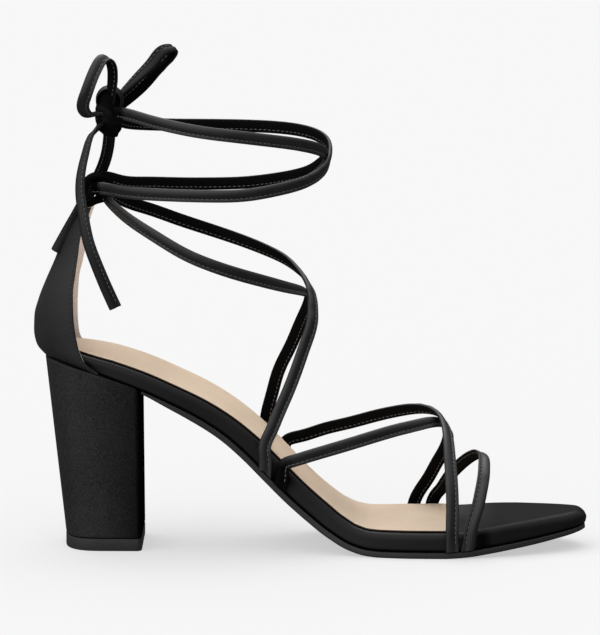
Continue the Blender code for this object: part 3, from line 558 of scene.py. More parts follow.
def stationsFrom(first):
    # places along the shoe from a first one on, closer together at the heel and at the toe
    angles = np.linspace(sole["endAngle"], math.pi - sole["endAngle"], sole["stations"])
    places = sole["heelEnd"] + (sole["toeEnd"] - sole["heelEnd"]) * (1 - np.cos(angles)) / 2
    return np.append(first, places[places > first + sole["leastStep"]]) if first > places[0] else places


def sideOf(side, x):
    # half width on one side
    return soleAt("inner" if side == inner else "outer", x)


# Straps: a rolled fold along one edge and a stitched lip along the other

strap = {
    "width": 5.4, "thickness": 2.1, "step": 0.8, "solidStep": 5.0, "bowSolidStep": 4.0,
    "footThickness": 1.2, "footTaper": 9.0, "footTurn": 1.6,
    "footAboveRim": 0.8, "footAboveOutsole": 0.1, "footClearance": 0.65,
    "smoothing": 6, "wornRounds": 3, "bowRounds": 2, "coreStep": 1.0, "ridge": 0.45, "ridgeOff": 1.9,
    "stitchRow": 1.34, "stitchTop": 1.38, "stitchUnder": 0.48, "stitchWander": 0.09, "stitchPitch": 2.0,
    "stitchLength": 1.5, "stitchRadius": 0.24, "tuckedMargin": 2.4, "freeMargin": 1.0,
    "bowMargins": (2.0, 1.2),
    "paintedShadeSides": (14, 22),  # first and last side of the profile on the inner face, which gets painted shade
    # across from the middle, and height over the inner face: fold at the left, stitched lip at the right
    "profile": (
        (-2.70, 0.98), (-2.62, 1.36), (-2.40, 1.68), (-2.02, 1.93), (-1.46, 2.08), (-0.80, 2.08),
        (-0.14, 1.93), (0.44, 1.66), (0.94, 1.36), (1.34, 1.22), (1.62, 1.36), (2.12, 1.44), (2.55, 1.32),
        (2.70, 1.00), (2.55, 0.60), (2.12, 0.42), (1.60, 0.48), (1.34, 0.55), (1.12, 0.44), (0.74, 0.20),
        (0.12, 0.05), (-1.05, 0.00), (-1.98, 0.12), (-2.55, 0.52),
    ),
}
footCore = ((92, 0, 0), (55, 0, 12), (20, 0, 30), (-12, 0, 62), (-42, 0, 125), (-42, 0, 210))
# a thread dash from end to end: places in parts of its length, girth and arch in parts of its radius
dash = {
    "run": (-0.5, -0.40, 0.0, 0.40, 0.5), "girth": (0.35, 0.85, 1.0, 0.85, 0.35),
    "arch": (-0.55, -0.2, 0.25, -0.2, -0.55), "around": 6,
}


def awayFrom(line, core):
    # direction from the nearest point of the core
    apart = np.linalg.norm(line[:, None] - core[None], axis=2)
    return unit(line - core[apart.argmin(axis=1)])


def smoothed(vectors, rounds):
    # directions averaged with their neighbours, a number of times
    for _ in range(rounds):
        padded = np.concatenate([vectors[:1], vectors, vectors[-1:]])
        vectors = unit(padded[:-2] + 2 * padded[1:-1] + padded[2:])
    return vectors


def rimWay(side, x):
    # outward direction of the footbed's side
    reach = sole["rimReach"]
    slope = float(sideOf(side, x + reach) - sideOf(side, x - reach)) / (2 * reach)
    return unit(np.array([-slope, side, 0.0]))


def footPoints(end):
    # a strap end beside the footbed: at the outsole, halfway up and just above the rim
    side, low, high = end
    share = np.array([0.0, 0.5, 1.0])
    x = low + (high - low) * share
    height = strap["footAboveOutsole"] + (soleAt("board", x) + strap["footAboveRim"]) * share
    ways = np.array([rimWay(side, place) for place in x])
    return onSole(x, side * sideOf(side, x), height) + ways * strap["footClearance"]


def frameAlong(points, core, rounds, solidStep, lean=(1.0, 1.0, 1.0), axis=(0.0, 0.0, 0.0)):
    # fine line through the route, with the outward direction that the solid strap has there:
    # away from the core, each part of it times its lean, and square to a loop's axis
    rough = curveThrough(points, solidStep)
    away = awayFrom(rough, core) * lean
    turned = smoothed(unit(away - (away @ axis)[:, None] * axis), rounds)
    line = curveThrough(points, strap["step"])
    share = np.linspace(0, 1, len(line))
    outward = sampled(share, np.linspace(0, 1, len(rough)), turned)
    return line, smoothed(unit(outward), strap["smoothing"])


def squared(line, outward):
    # along, across and outward directions, square to each other
    along = unit(np.gradient(line, axis=0))
    outward = squareTo(outward, along)
    return along, np.cross(along, outward), outward


def creaseAt(places, creases):
    # soft troughs across a strap, each with a low ridge on both sides
    fold = np.zeros(len(places))
    for place, depth, width in creases:
        off = (places - place) / width
        ridges = strap["ridge"] * np.exp(-(np.abs(off) - strap["ridgeOff"])**2)
        fold += depth * (np.exp(-off**2) - ridges)
    return fold


def levelEnd(ring, beside, end):
    # an end ring slid along its strap until it is level with the outsole
    side, x, _ = end
    upX, upZ = soleUp(np.array(float(x)))
    normal = np.array([float(upX), 0.0, float(upZ)])
    along = unit(beside.mean(axis=0) - ring.mean(axis=0))
    base = onSole(x, side * float(sideOf(side, x)), strap["footAboveOutsole"])
    above = (ring - base) @ normal
    return ring - along * (above / (along @ normal))[:, None]


def addStrapPiece(name, rings, node, shade=None):
    # a strap whose inner face takes a darker, matt copy of its leather as painted shade
    count, around = rings.shape[:2]
    piece = addPiece(name, rings, ringQuads(count, around), strapHide, [node], shade=shade)
    side = np.arange(len(piece.data.polygons)) % around
    paintedShadeFaces = (side >= strap["paintedShadeSides"][0]) & (side <= strap["paintedShadeSides"][1])
    paintedShadeFaces[(count - 1) * around:] = False
    piece.data.materials.append(strapPaintedShade)
    piece.data.polygons.foreach_set("material_index", paintedShadeFaces.astype(np.int32))
    return piece


def strapRings(line, outward, thickness, side, creases):
    # the profile carried along the line; side says which edge is the stitched lip
    _, across, outward = squared(line, outward)
    profile = np.array(strap["profile"])
    share = profile[:, 1] / strap["thickness"]
    fold = creaseAt(lengthsOf(line), creases)[:, None]
    height = thickness[:, None] * share - fold * fraction(share * 2 - 1)
    rings = line[:, None] + across[:, None] * (side * profile[:, 0])[None, :, None]
    return rings + outward[:, None] * height[:, :, None]


def stitchesAlong(line, outward, thickness, side, margins):
    # a thread dash at each pitch, on the outer and on the inner face
    places = lengthsOf(line)
    count = int((places[-1] - sum(margins)) // strap["stitchPitch"])
    at = margins[0] + (np.arange(count) + 0.5) * strap["stitchPitch"]
    along, across, outward = [sampled(at, places, ways) for ways in squared(line, outward)]
    thick = np.interp(at, places, thickness)[:, None] / strap["thickness"]
    middle = sampled(at, places, line) + across * side * strap["stitchRow"]
    top = middle + outward * (thick * strap["stitchTop"])
    under = middle + outward * (thick * strap["stitchUnder"])
    ways = unit(along + across * chance.normal(0.0, strap["stitchWander"], (count, 1)))
    return np.concatenate([top, under]), np.concatenate([ways, ways]), np.concatenate([outward, -outward])


def addStitches(name, rows, look):
    # all dashes of the rows as one mesh: each is a few rings that swell, arch and close
    middles, ways, ups = [np.concatenate(parts) for parts in zip(*rows)]
    ways = unit(ways)
    ups = squareTo(ups, ways)
    sides = np.cross(ways, ups)
    run = np.array(dash["run"]) * strap["stitchLength"]
    girth = np.array(dash["girth"])[:, None] * strap["stitchRadius"]
    arch = np.array(dash["arch"])[:, None] * strap["stitchRadius"]
    turn = np.arange(dash["around"]) * math.tau / dash["around"]
    rings = middles[:, None, None] + ways[:, None, None] * run[None, :, None, None]
    rings = rings + sides[:, None, None] * (girth * np.cos(turn))[None, :, :, None]
    rings = rings + ups[:, None, None] * (girth * np.sin(turn) + arch)[None, :, :, None]
    count, around = rings.shape[1:3]
    quads = copiesOf(ringQuads(count, around), count * around, len(middles))
    return addPiece(name, rings, quads, look, sharp=80.0)


# Bow at the back: loops and ends are free, the knot holds them. Twist is millimetres along and degrees

bow = {
    "loopNear": {
        "node": "bow_loop_near", "farEnd": "knot", "lay": "loose", "side": 1,
        "core": ((-87.6, -9.0, 194.0),), "axis": (-0.73, 0.68, 0.0),
        "creases": ((18.0, 0.25, 1.6), (48.0, 0.3, 1.4)), "dark": 0.0,
        "twist": ((0.0, 4.0, 9.0, 16.0, 36.0, 46.0), (0.0, 0.0, 15.0, 30.0, 36.0, 0.0)),
        "route": (
            (-85.2, -2.8, 182.4), (-88.0, -5.2, 182.8), (-92.6, -10.6, 183.4), (-94.2, -13.8, 186.8),
            (-93.2, -16.4, 191.6), (-91.1, -17.4, 197.6), (-88.3, -15.6, 204.0), (-85.2, -11.4, 207.4),
            (-82.6, -7.4, 204.2), (-82.0, -5.4, 198.2), (-82.8, -3.1, 190.7), (-83.2, -2.0, 187.6),
        ),
    },
    "loopFar": {
        "node": "bow_loop_far", "farEnd": "knot", "lay": "loose", "side": -1,
        "core": ((-66.5, 10.0, 199.0),), "axis": (-0.52, 0.60, 0.61),
        "creases": ((33.0, 0.25, 1.4), (41.0, 0.25, 1.4)), "dark": 0.6, "twist": ((0.0,), (0.0,)),
        "route": (
            (-82.6, 2.0, 186.8), (-80.2, 2.9, 189.1), (-71.9, 6.0, 197.0), (-65.2, 9.0, 203.6),
            (-60.0, 11.2, 208.2), (-56.9, 13.4, 207.8), (-58.5, 14.2, 204.5), (-63.8, 12.6, 199.3),
            (-69.5, 9.8, 193.5), (-79.0, 4.0, 185.8), (-82.0, 2.3, 183.2),
        ),
    },
    "endNear": {
        "node": "tie_end_near", "farEnd": "bare", "lay": "hanging", "side": -1,
        "core": np.linspace((-50, -2, 185), (-86, 10, 100), 40), "axis": None,
        "creases": ((9.0, 0.2, 1.5),), "dark": 0.4, "twist": ((0.0,), (0.0,)),
        "route": (
            (-84.6, -2.4, 180.4), (-86.9, -5.3, 178.4), (-91.4, -12.0, 173.4), (-92.8, -15.0, 168.8),
            (-94.0, -17.4, 164.0), (-94.9, -19.6, 159.2), (-95.1, -22.6, 152.2), (-94.1, -25.6, 145.4),
            (-92.9, -28.0, 138.6), (-91.4, -29.4, 132.0), (-88.5, -30.0, 123.9), (-84.4, -29.6, 113.7),
            (-80.3, -28.9, 104.4),
        ),
    },
    "endFar": {
        "node": "tie_end_far", "farEnd": "bare", "lay": "hanging", "side": 1,
        "core": np.linspace((-84, -60, 185), (-100, -60, 120), 40), "axis": None,
        "creases": (), "dark": 0.75, "twist": ((0.0,), (155.0,)),
        "route": (
            (-83.9, 3.4, 179.4), (-83.9, 5.4, 175.7), (-84.4, 9.6, 168.4), (-85.6, 12.6, 162.2),
            (-87.6, 15.0, 156.4), (-90.4, 16.4, 150.6), (-93.4, 17.2, 145.2), (-96.4, 18.2, 139.9),
            (-99.0, 19.2, 135.0), (-101.1, 20.2, 130.6),
        ),
    },
}
knot = {
    # packed core: the middle and half sizes of each lump
    "lumps": (((-84.1, 0.0, 181.4), (5.4, 6.2, 8.8)), ((-83.7, -0.2, 187.6), (4.9, 3.4, 5.4))),
    "levels": 31, "around": 44, "closing": 0.97, "pinch": 0.05, "folds": (3, 4),
    # strap bands wound round it: middle, axis that each is wound around, its half sizes, and its shade
    "bands": (
        {"middle": (-83.6, -0.6, 188.0), "axis": (0.12, 1.0, 0.10), "radii": (5.4, 5.4, 5.6), "dark": 0.3},
        {"middle": (-84.1, 0.0, 181.0), "axis": (0.42, 0.1, 1.0), "radii": (5.5, 6.2, 8.4), "dark": 0.85},
        {"middle": (-84.0, 0.0, 177.0), "axis": (0.34, -0.1, 1.0), "radii": (4.8, 5.2, 6.0), "dark": 0.95},
    ),
    "bandThickness": 1.5, "bandSteps": 110, "bandSunk": 0.6, "bandStart": (0.31, 0.22, 0.92),
}


def addKnot():
    # a pinched core with strap bands wound round it
    rise = np.linspace(-0.5, 0.5, knot["levels"])[:, None] * math.pi * knot["closing"]
    turn = np.arange(knot["around"])[None] * math.tau / knot["around"]
    pinch = 1 - knot["pinch"] * np.cos(knot["folds"][0] * turn + knot["folds"][1] * rise)
    ball = np.stack([np.cos(rise) * np.cos(turn) * pinch, np.cos(rise) * np.sin(turn) * pinch,
                     np.sin(rise) * np.ones_like(turn)], axis=-1)
    lumps = np.array([np.array(middle) + ball * radii for middle, radii in knot["lumps"]])
    quads = copiesOf(ringQuads(*pinch.shape), pinch.size, len(lumps))
    # the core takes the darker, matt copy of the strap leather: painted shade in the packed knot
    core = addPiece("bow_knot", lumps, quads, strapPaintedShade, ["bow_knot"])
    steps = knot["bandSteps"]
    profile = np.array(strap["profile"]) * (1.0, knot["bandThickness"] / strap["thickness"])
    sunk = knot["bandThickness"] * knot["bandSunk"]
    rings = []
    for band in knot["bands"]:
        axis = unit(np.array(band["axis"]))
        first = unit(np.cross(axis, knot["bandStart"]))
        angle = np.arange(steps)[:, None] * math.tau / steps
        way = first * np.cos(angle) + np.cross(axis, first) * np.sin(angle)
        line = np.array(band["middle"]) + way * band["radii"]
        along = unit(np.roll(line, -1, axis=0) - np.roll(line, 1, axis=0))
        outward = squareTo(way, along)
        ring = line[:, None] + np.cross(along, outward)[:, None] * profile[None, :, :1]
        rings.append(ring + outward[:, None] * (profile[None, :, 1:] - sunk))
    size = steps * len(profile)
    quads = copiesOf(ringQuads(steps, len(profile), True), size, len(rings))
    shade = np.repeat([band["dark"] for band in knot["bands"]], size)
    bands = addPiece("bow_knot_bands", np.concatenate(rings), quads, strapHide, ["bow_knot"],
                     shade=shade)
    return core, bands


def addBow():
    # each loop and end is a cord of its own, with the knot made first
    knotPieces = addKnot()
    for name, part in bow.items():
        axis = (0.0, 0.0, 0.0) if part["axis"] is None else unit(np.array(part["axis"]))
        core = np.array(part["core"], float)
        line, outward = frameAlong(part["route"], core, strap["bowRounds"], strap["bowSolidStep"], axis=axis)
        _, across, outward = squared(line, outward)
        turn = np.radians(np.interp(lengthsOf(line), *part["twist"]))[:, None]
        outward = outward * np.cos(turn) + across * np.sin(turn)
        face = line - outward * strap["thickness"] / 2
        thickness = np.full(len(line), strap["thickness"])
        rings = strapRings(face, outward, thickness, part["side"], part["creases"])
        # dark: painted shade, even over the whole loop or end
        piece = addStrapPiece(part["node"], rings, part["node"], np.full(rings.shape[:2], part["dark"]))
        row = stitchesAlong(face, outward, thickness, part["side"], strap["bowMargins"])
        stitches = addStitches(part["node"] + "_stitches", [row], blackThread)
        tuple(line[0] * mm)
        (line * mm).tolist()


addBow()
print("bow")


# Straps round the foot: x, y, z along the face that lies on the foot. Each tucked end has its side of the
# shoe and its place along the sole at the outsole and at the rim. Dark is the shade at each end, how far from
# that end it reaches and over what length it fades. Creases have a place, a depth and a width

straps = {
    "forefoot_strap_over": {
        "node": "forefoot_straps", "side": -1, "start": (outer, -12.0, -16.2), "end": (inner, 60.6, 60.8),
        "lean": (1.0, 1.0, 0.42), "dark": ((0.0, 1.0, 1.0), (0.0, 1.0, 1.0)),
        "creases": ((72.0, 0.22, 1.6), (78.0, 0.18, 1.4)),
        "route": (
            (-4.4, 29.8, 40.3), (5.8, 27.6, 43.8), (16.0, 24.6, 46.8), (26.2, 20.4, 50.2),
            (36.4, 15.0, 53.3), (44.0, 10.2, 55.0), (49.9, 5.4, 55.2), (54.2, -0.6, 53.9),
            (57.0, -9.0, 50.8), (58.3, -18.0, 46.6), (59.2, -27.0, 39.8), (60.1, -33.6, 31.6),
            (60.6, -37.2, 20.6),
        ),
    },
    "forefoot_strap_under": {
        "node": "forefoot_straps", "side": 1, "start": (inner, -11.7, -15.6), "end": (outer, 42.2, 43.9),
        "lean": (1.0, 1.0, 0.42), "dark": ((0.95, 15.0, 6.0), (0.0, 1.0, 1.0)),
        "creases": ((84.0, 0.2, 1.6),),
        "route": (
            (-6.0, -27.1, 39.7), (0.7, -26.0, 41.6), (6.8, -24.6, 43.2), (16.8, -21.6, 45.7),
            (26.8, -17.6, 48.1), (36.7, -12.8, 50.1), (45.1, -8.0, 51.2), (51.0, -3.6, 51.6),
            (55.1, 1.4, 50.4), (57.4, 8.0, 47.0), (57.8, 16.0, 41.2), (56.0, 23.2, 34.8),
            (53.2, 28.8, 28.9), (49.4, 34.8, 21.0),
        ),
    },
    "toe_strap": {
        "node": "toe_strap", "side": -1, "start": (inner, 66.9, 69.2), "end": (outer, 49.6, 51.4),
        "lean": (1.0, 1.0, 0.42), "dark": ((0.0, 1.0, 1.0), (0.0, 1.0, 1.0)),
        "creases": ((30.0, 0.2, 1.5),),
        "route": (
            (71.0, -35.4, 21.4), (72.4, -32.4, 27.8), (73.2, -28.8, 32.2), (73.4, -23.0, 36.2),
            (73.2, -16.8, 38.3), (72.2, -10.0, 38.9), (68.8, 0.6, 36.9), (62.0, 14.8, 29.4),
            (58.0, 23.6, 23.2), (54.9, 31.0, 17.2),
        ),
    },
    "instep_strap_over": {
        "node": "instep_straps", "side": 1, "start": (inner, -17.9, -23.6), "end": None,
        "lean": (0.45, 1.0, 1.0), "dark": ((0.0, 1.0, 1.0), (0.9, 11.5, 4.6)),
        "creases": ((72.0, 0.25, 1.8), (80.0, 0.2, 1.6)),
        "route": (
            (-15.8, -25.9, 51.0), (-12.2, -24.0, 59.4), (-8.8, -22.2, 67.2), (-5.0, -19.8, 77.0),
            (-1.7, -16.8, 86.5), (1.1, -13.0, 95.7), (1.2, -8.6, 101.7), (0.4, -3.4, 106.7),
            (-1.8, 3.0, 110.4), (-5.8, 10.4, 113.9), (-11.2, 17.6, 117.4), (-17.9, 23.0, 120.2),
            (-28.0, 28.0, 123.7), (-41.6, 30.4, 128.2), (-55.1, 29.0, 133.0), (-67.3, 23.6, 138.3),
            (-77.4, 14.8, 143.2), (-84.0, 9.2, 147.9), (-86.3, 5.5, 150.3),
        ),
    },
    "instep_strap_under": {
        "node": "instep_straps", "side": -1, "start": (outer, -18.8, -24.4), "end": None,
        "lean": (0.45, 1.0, 1.0), "dark": ((0.0, 1.0, 1.0), (0.9, 10.4, 4.2)),
        "creases": ((70.0, 0.2, 1.8),),
        "route": (
            (-16.3, 27.1, 58.4), (-13.3, 23.6, 69.5), (-8.4, 19.0, 80.5), (-4.8, 13.6, 89.9),
            (-2.1, 8.0, 97.0), (-0.7, 2.2, 102.5), (-1.8, -4.4, 106.5), (-5.8, -10.4, 109.0),
            (-11.7, -16.6, 111.6), (-19.2, -22.6, 114.8), (-28.3, -27.6, 118.3), (-39.9, -31.0, 122.8),
            (-51.5, -31.0, 127.9), (-61.6, -28.6, 133.6), (-70.0, -23.6, 138.2), (-77.6, -15.8, 142.6),
            (-84.0, -9.2, 147.9), (-86.3, -5.5, 150.3),
        ),
    },
    "ankle_tie_over": {
        "node": "ankle_ties", "side": 1, "start": None, "end": None,
        "lean": (0.7, 1.0, 1.0), "dark": ((1.0, 16.8, 2.4), (0.6, 11.5, 4.6)),
        "creases": ((112.0, 0.2, 1.8), (120.0, 0.2, 1.6)),
        "route": (
            (-87.0, 2.9, 150.5), (-87.9, 0.0, 150.9), (-89.4, -4.2, 151.2), (-89.3, -7.0, 151.5),
            (-86.8, -10.6, 152.2), (-78.6, -17.0, 152.0), (-68.0, -24.2, 152.0), (-55.3, -29.6, 152.2),
            (-40.6, -32.6, 152.3), (-26.0, -32.0, 152.7), (-13.6, -28.0, 154.3), (-4.2, -21.6, 155.9),
            (2.2, -14.4, 158.0), (6.3, -6.6, 161.1), (7.6, 1.0, 164.8), (6.8, 8.4, 168.2),
            (3.5, 15.2, 170.4), (-2.6, 21.4, 171.8), (-12.0, 27.0, 172.5), (-25.5, 31.0, 172.7),
            (-41.6, 31.4, 172.9), (-57.1, 28.4, 173.4), (-69.4, 22.2, 174.6), (-76.6, 13.6, 176.6),
            (-81.0, 5.7, 179.4),
        ),
    },
    "ankle_tie_under": {
        "node": "ankle_ties", "side": -1, "start": None, "end": None,
        "lean": (0.7, 1.0, 1.0), "dark": ((1.0, 16.8, 2.4), (0.9, 8.0, 3.2)),
        "creases": ((108.0, 0.2, 1.8), (116.0, 0.2, 1.6)),
        "route": (
            (-87.0, -2.9, 150.5), (-87.9, 0.0, 151.0), (-89.4, 4.2, 151.1), (-89.3, 7.0, 151.4),
            (-86.9, 10.7, 153.1), (-79.0, 16.9, 151.2), (-68.4, 24.4, 149.3), (-55.1, 29.4, 148.3),
            (-41.6, 31.4, 148.0), (-27.6, 30.0, 148.7), (-16.1, 25.6, 150.7), (-6.7, 18.6, 153.5),
            (-0.7, 12.0, 156.6), (3.6, 5.0, 160.9), (5.9, -1.5, 165.0), (4.0, -8.0, 168.2),
            (-0.4, -14.2, 170.6), (-7.5, -20.6, 172.9), (-17.8, -26.6, 175.1), (-31.5, -30.6, 177.3),
            (-44.8, -30.6, 179.0), (-57.4, -26.6, 180.9), (-66.8, -19.6, 182.3), (-74.6, -12.0, 183.4),
            (-80.3, -5.4, 183.4),
        ),
    },
}


def addStrap(name, part):
    # worn strap: thins and turns flat against the footbed where an end is tucked in
    points = np.array(part["route"], float)
    if part["start"]:
        points = np.concatenate([footPoints(part["start"]), points])
    if part["end"]:
        points = np.concatenate([points, footPoints(part["end"])[::-1]])
    core = curveThrough(footCore, strap["coreStep"])
    line, outward = frameAlong(points, core, strap["wornRounds"], strap["solidStep"], part["lean"])
    places = lengthsOf(line)
    fromEnds = (places, places[-1] - places)
    thickness = np.full(len(line), strap["thickness"])
    for tucked, fromEnd in zip((part["start"], part["end"]), fromEnds):
        if tucked:
            share = fraction(fromEnd / strap["footTaper"])
            thin = strap["footThickness"] + (strap["thickness"] - strap["footThickness"]) * share
            thickness = np.minimum(thickness, thin)
            blend = fraction(strap["footTurn"] - fromEnd / strap["footTaper"])[:, None]
            outward = unit(outward * (1 - blend) + rimWay(tucked[0], tucked[1]) * blend)
    rings = strapRings(line, outward, thickness, part["side"], part["creases"])
    if part["start"]:
        rings[0] = levelEnd(rings[0], rings[3], part["start"])
    if part["end"]:
        rings[-1] = levelEnd(rings[-1], rings[-4], part["end"])
    shade = sum(dark * fraction((reach - fromEnd) / fade)
                for (dark, reach, fade), fromEnd in zip(part["dark"], fromEnds))
    addStrapPiece(name, rings, part["node"], np.repeat(shade, rings.shape[1]))
    margins = [strap["tuckedMargin"] if part[end] else strap["freeMargin"] for end in ("start", "end")]
    row = stitchesAlong(line, outward, thickness, part["side"], margins)
    addStitches(name + "_stitches", [row], blackThread)


for strapName, strapPart in straps.items():
    addStrap(strapName, strapPart)
print("straps")


# Heel: covered block on a rubber top lift, D-shaped in plan

heel = {
    "liftHeight": 5.2, "gap": 0.3, "seatGap": 0.36,
    "backTop": -110.6, "backFloor": -102.2, "frontTop": -70.4, "frontFloor": -69.7,
    "halfTop": 26.0, "halfFloor": 22.5, "roundBack": 0.5, "squareness": 2.7, "frontCorner": 2.5,
    "backSteps": 72, "cornerSteps": 23, "levels": 40, "levelEnds": (0.01, 0.99), "edge": 0.55, "edgeSteps": 6,
    "breastStart": -75.5, "breastFull": -70.5,  # the front face lies in its own shade
    # the lift from the floor up: how far each outline is drawn in, and its height
    "liftRows": ((0.45, 0.0), (0.15, 0.12), (0.0, 0.45), (0.0, 2.6), (0.0, 4.8), (0.12, 5.08), (0.4, 5.2)),
}


def heelOutline(back, front, half):
    # squarish round back as a superellipse, straight sides, straight front with small corners
    middle = back + (front - back) * heel["roundBack"]
    turn = np.linspace(-math.pi / 2, math.pi / 2, heel["backSteps"] + 1)
    power = 2 / heel["squareness"]
    backArc = np.column_stack([middle - (middle - back) * fraction(np.cos(turn))**power,
                              half * np.sign(np.sin(turn)) * np.abs(np.sin(turn))**power])
    corner = heel["frontCorner"]
    turn = np.linspace(0, math.pi, heel["cornerSteps"] + 1)
    side = np.where(turn < math.pi / 2, 1.0, -1.0)
    square = np.column_stack([front - corner + corner * np.sin(turn),
                              side * (half - corner) + corner * np.cos(turn)])
    return np.roll(np.concatenate([backArc, square]), -(heel["backSteps"] // 2), axis=0)


def insetOutline(outline, amount):
    # the outline moved inwards, square to itself
    run = unit(np.roll(outline, -1, axis=0) - np.roll(outline, 1, axis=0))
    return outline + np.column_stack([-run[:, 1], run[:, 0]]) * amount * turnSign(outline)


def turnSign(outline):
    # 1 for an outline that runs anticlockwise, -1 for the other way round
    after = np.roll(outline, -1, axis=0)
    return np.sign(np.sum(outline[:, 0] * after[:, 1] - outline[:, 1] * after[:, 0]))


def addHeel():
    # outlines blended from the lift up to the seat, with a quarter round at both edges
    base = heelOutline(heel["backFloor"], heel["frontFloor"], heel["halfFloor"])
    seat = heelOutline(heel["backTop"], heel["frontTop"], heel["halfTop"])
    start = heel["liftHeight"] + heel["gap"]
    seatHeight = soleAt("seat", seat[:, 0]) - heel["seatGap"]
    edge = heel["edge"]
    turn = np.linspace(0, math.pi / 2, heel["edgeSteps"])
    drawnIn = edge * (1 - np.sin(turn))
    raised = edge * (1 - np.cos(turn))
    rest = np.full(heel["levels"] + heel["edgeSteps"], edge)
    inset = np.concatenate([drawnIn, np.zeros(heel["levels"]), drawnIn[::-1]])
    fromBase = np.concatenate([raised, rest])
    fromSeat = np.concatenate([rest, raised[::-1]])
    between = np.linspace(*heel["levelEnds"], heel["levels"])
    share = np.concatenate([0 * turn, between, 0 * turn + 1])
    rings = []
    for amount, low, high, part in zip(inset, fromBase, fromSeat, share):
        plan = insetOutline(base + (seat - base) * part, amount)
        z = (start + low) * (1 - part) + (seatHeight - high) * part
        rings.append(np.column_stack([plan, z]))
    rings = np.array(rings)
    breast = ramp(rings[:, :, 0], heel["breastStart"], heel["breastFull"])
    addLoft("heel_block", rings, heelHide, breast)


def addTopLift():
    # the heel's lowest outline with its edges drawn in at the floor and at the top
    plan = heelOutline(heel["backFloor"], heel["frontFloor"], heel["halfFloor"])
    rings = [np.column_stack([insetOutline(plan, amount), np.full(len(plan), z)])
             for amount, z in heel["liftRows"]]
    addLoft("top_lift", np.array(rings), liftRubber)


addHeel()
addTopLift()
print("heel")


# Outsole and footbed

outsole = {
    "start": -69.3, "ledge": 1.0, "ledgeFade": 6.0, "fullWidth": 10.0, "gap": 0.45, "underGap": 0.3,
    "edge": 0.7, "upperEdge": 0.3, "edgeSteps": 5, "treadInset": 3, "upperInset": 4,
}


def addOutsole():
    # round-edged strip under the footbed: quarter rounds at the tread and at the upper edge
    x = stationsFrom(outsole["start"])[:, None]
    ledge = outsole["ledge"] * np.minimum(1.0, (sole["toeEnd"] - x) / outsole["ledgeFade"])
    wide = {inner: soleAt("inner", x) + ledge, outer: soleAt("outer", x) + ledge}
    small = np.minimum(1.0, (wide[inner] + wide[outer]) / outsole["fullWidth"])
    under = -outsole["underGap"] - soleAt("outsole", x)
    turn = np.linspace(0, math.pi / 2, outsole["edgeSteps"])[None]
    tread = outsole["edge"] * small
    upper = outsole["upperEdge"] * small
    inset = np.concatenate([tread * outsole["treadInset"], tread * (1 - np.sin(turn)), 0.0 * x,
                            upper * (1 - np.cos(turn)), upper * outsole["upperInset"]], axis=1)
    height = np.concatenate([under, under + tread * (1 - np.cos(turn)), (under - outsole["gap"]) / 2,
                             -outsole["gap"] - upper * (1 - np.sin(turn)), -outsole["gap"] + 0.0 * x], axis=1)
    y = np.concatenate([-wide[inner] + inset, (wide[outer] - inset)[:, ::-1]], axis=1)
    rings = onSole(x, y, np.concatenate([height, height[:, ::-1]], axis=1))
    addLoft("outsole", rings, outsoleRubber, sharp=50.0)


footbed = {
    "rim": 2.6, "rimGrowth": 0.7, "growthStart": 84.0, "rimSteps": 9, "rimStart": 1.1, "fullWidth": 20.0,
    "lowInset": 1.0, "lowRound": 0.9, "lowSteps": 5, "underInset": 6.0, "topInsets": (1.8, 5.4),
    # places up the side, as shares of its height
    "sideHeight": 0.25, "flankMiddle": 0.4, "flankHalf": 0.55, "topStart": 0.9, "topFade": 0.1,
    # soft dips in the wrap beside the tucked straps: side, place along the sole, half length, depth
    "dips": (
        (inner, -19.0, 3.4, 0.35), (inner, -12.5, 3.6, 0.45), (inner, 60.8, 3.0, 0.3),
        (inner, 68.0, 3.4, 0.35), (outer, -12.0, 3.6, 0.35), (outer, -22.0, 3.4, 0.35),
        (outer, 44.0, 3.0, 0.3), (outer, 51.0, 3.0, 0.3),
    ),
    # painted shadow next to a strap end: side, place, half length, how dark
    "paintedShadows": ((inner, -13.6, 4.4, 0.95), (inner, 73.6, 3.0, 0.9)), "paintedShadowGain": 2.5,
    "bulge": 1.5, "bulgeStart": 104.0, "bulgeHeight": 4.0,  # the padded toe tip
    "toeStart": 62.0, "toeFull": 80.0, "toePaintedShade": 0.55,  # painted shade on the top in front of the sock
}


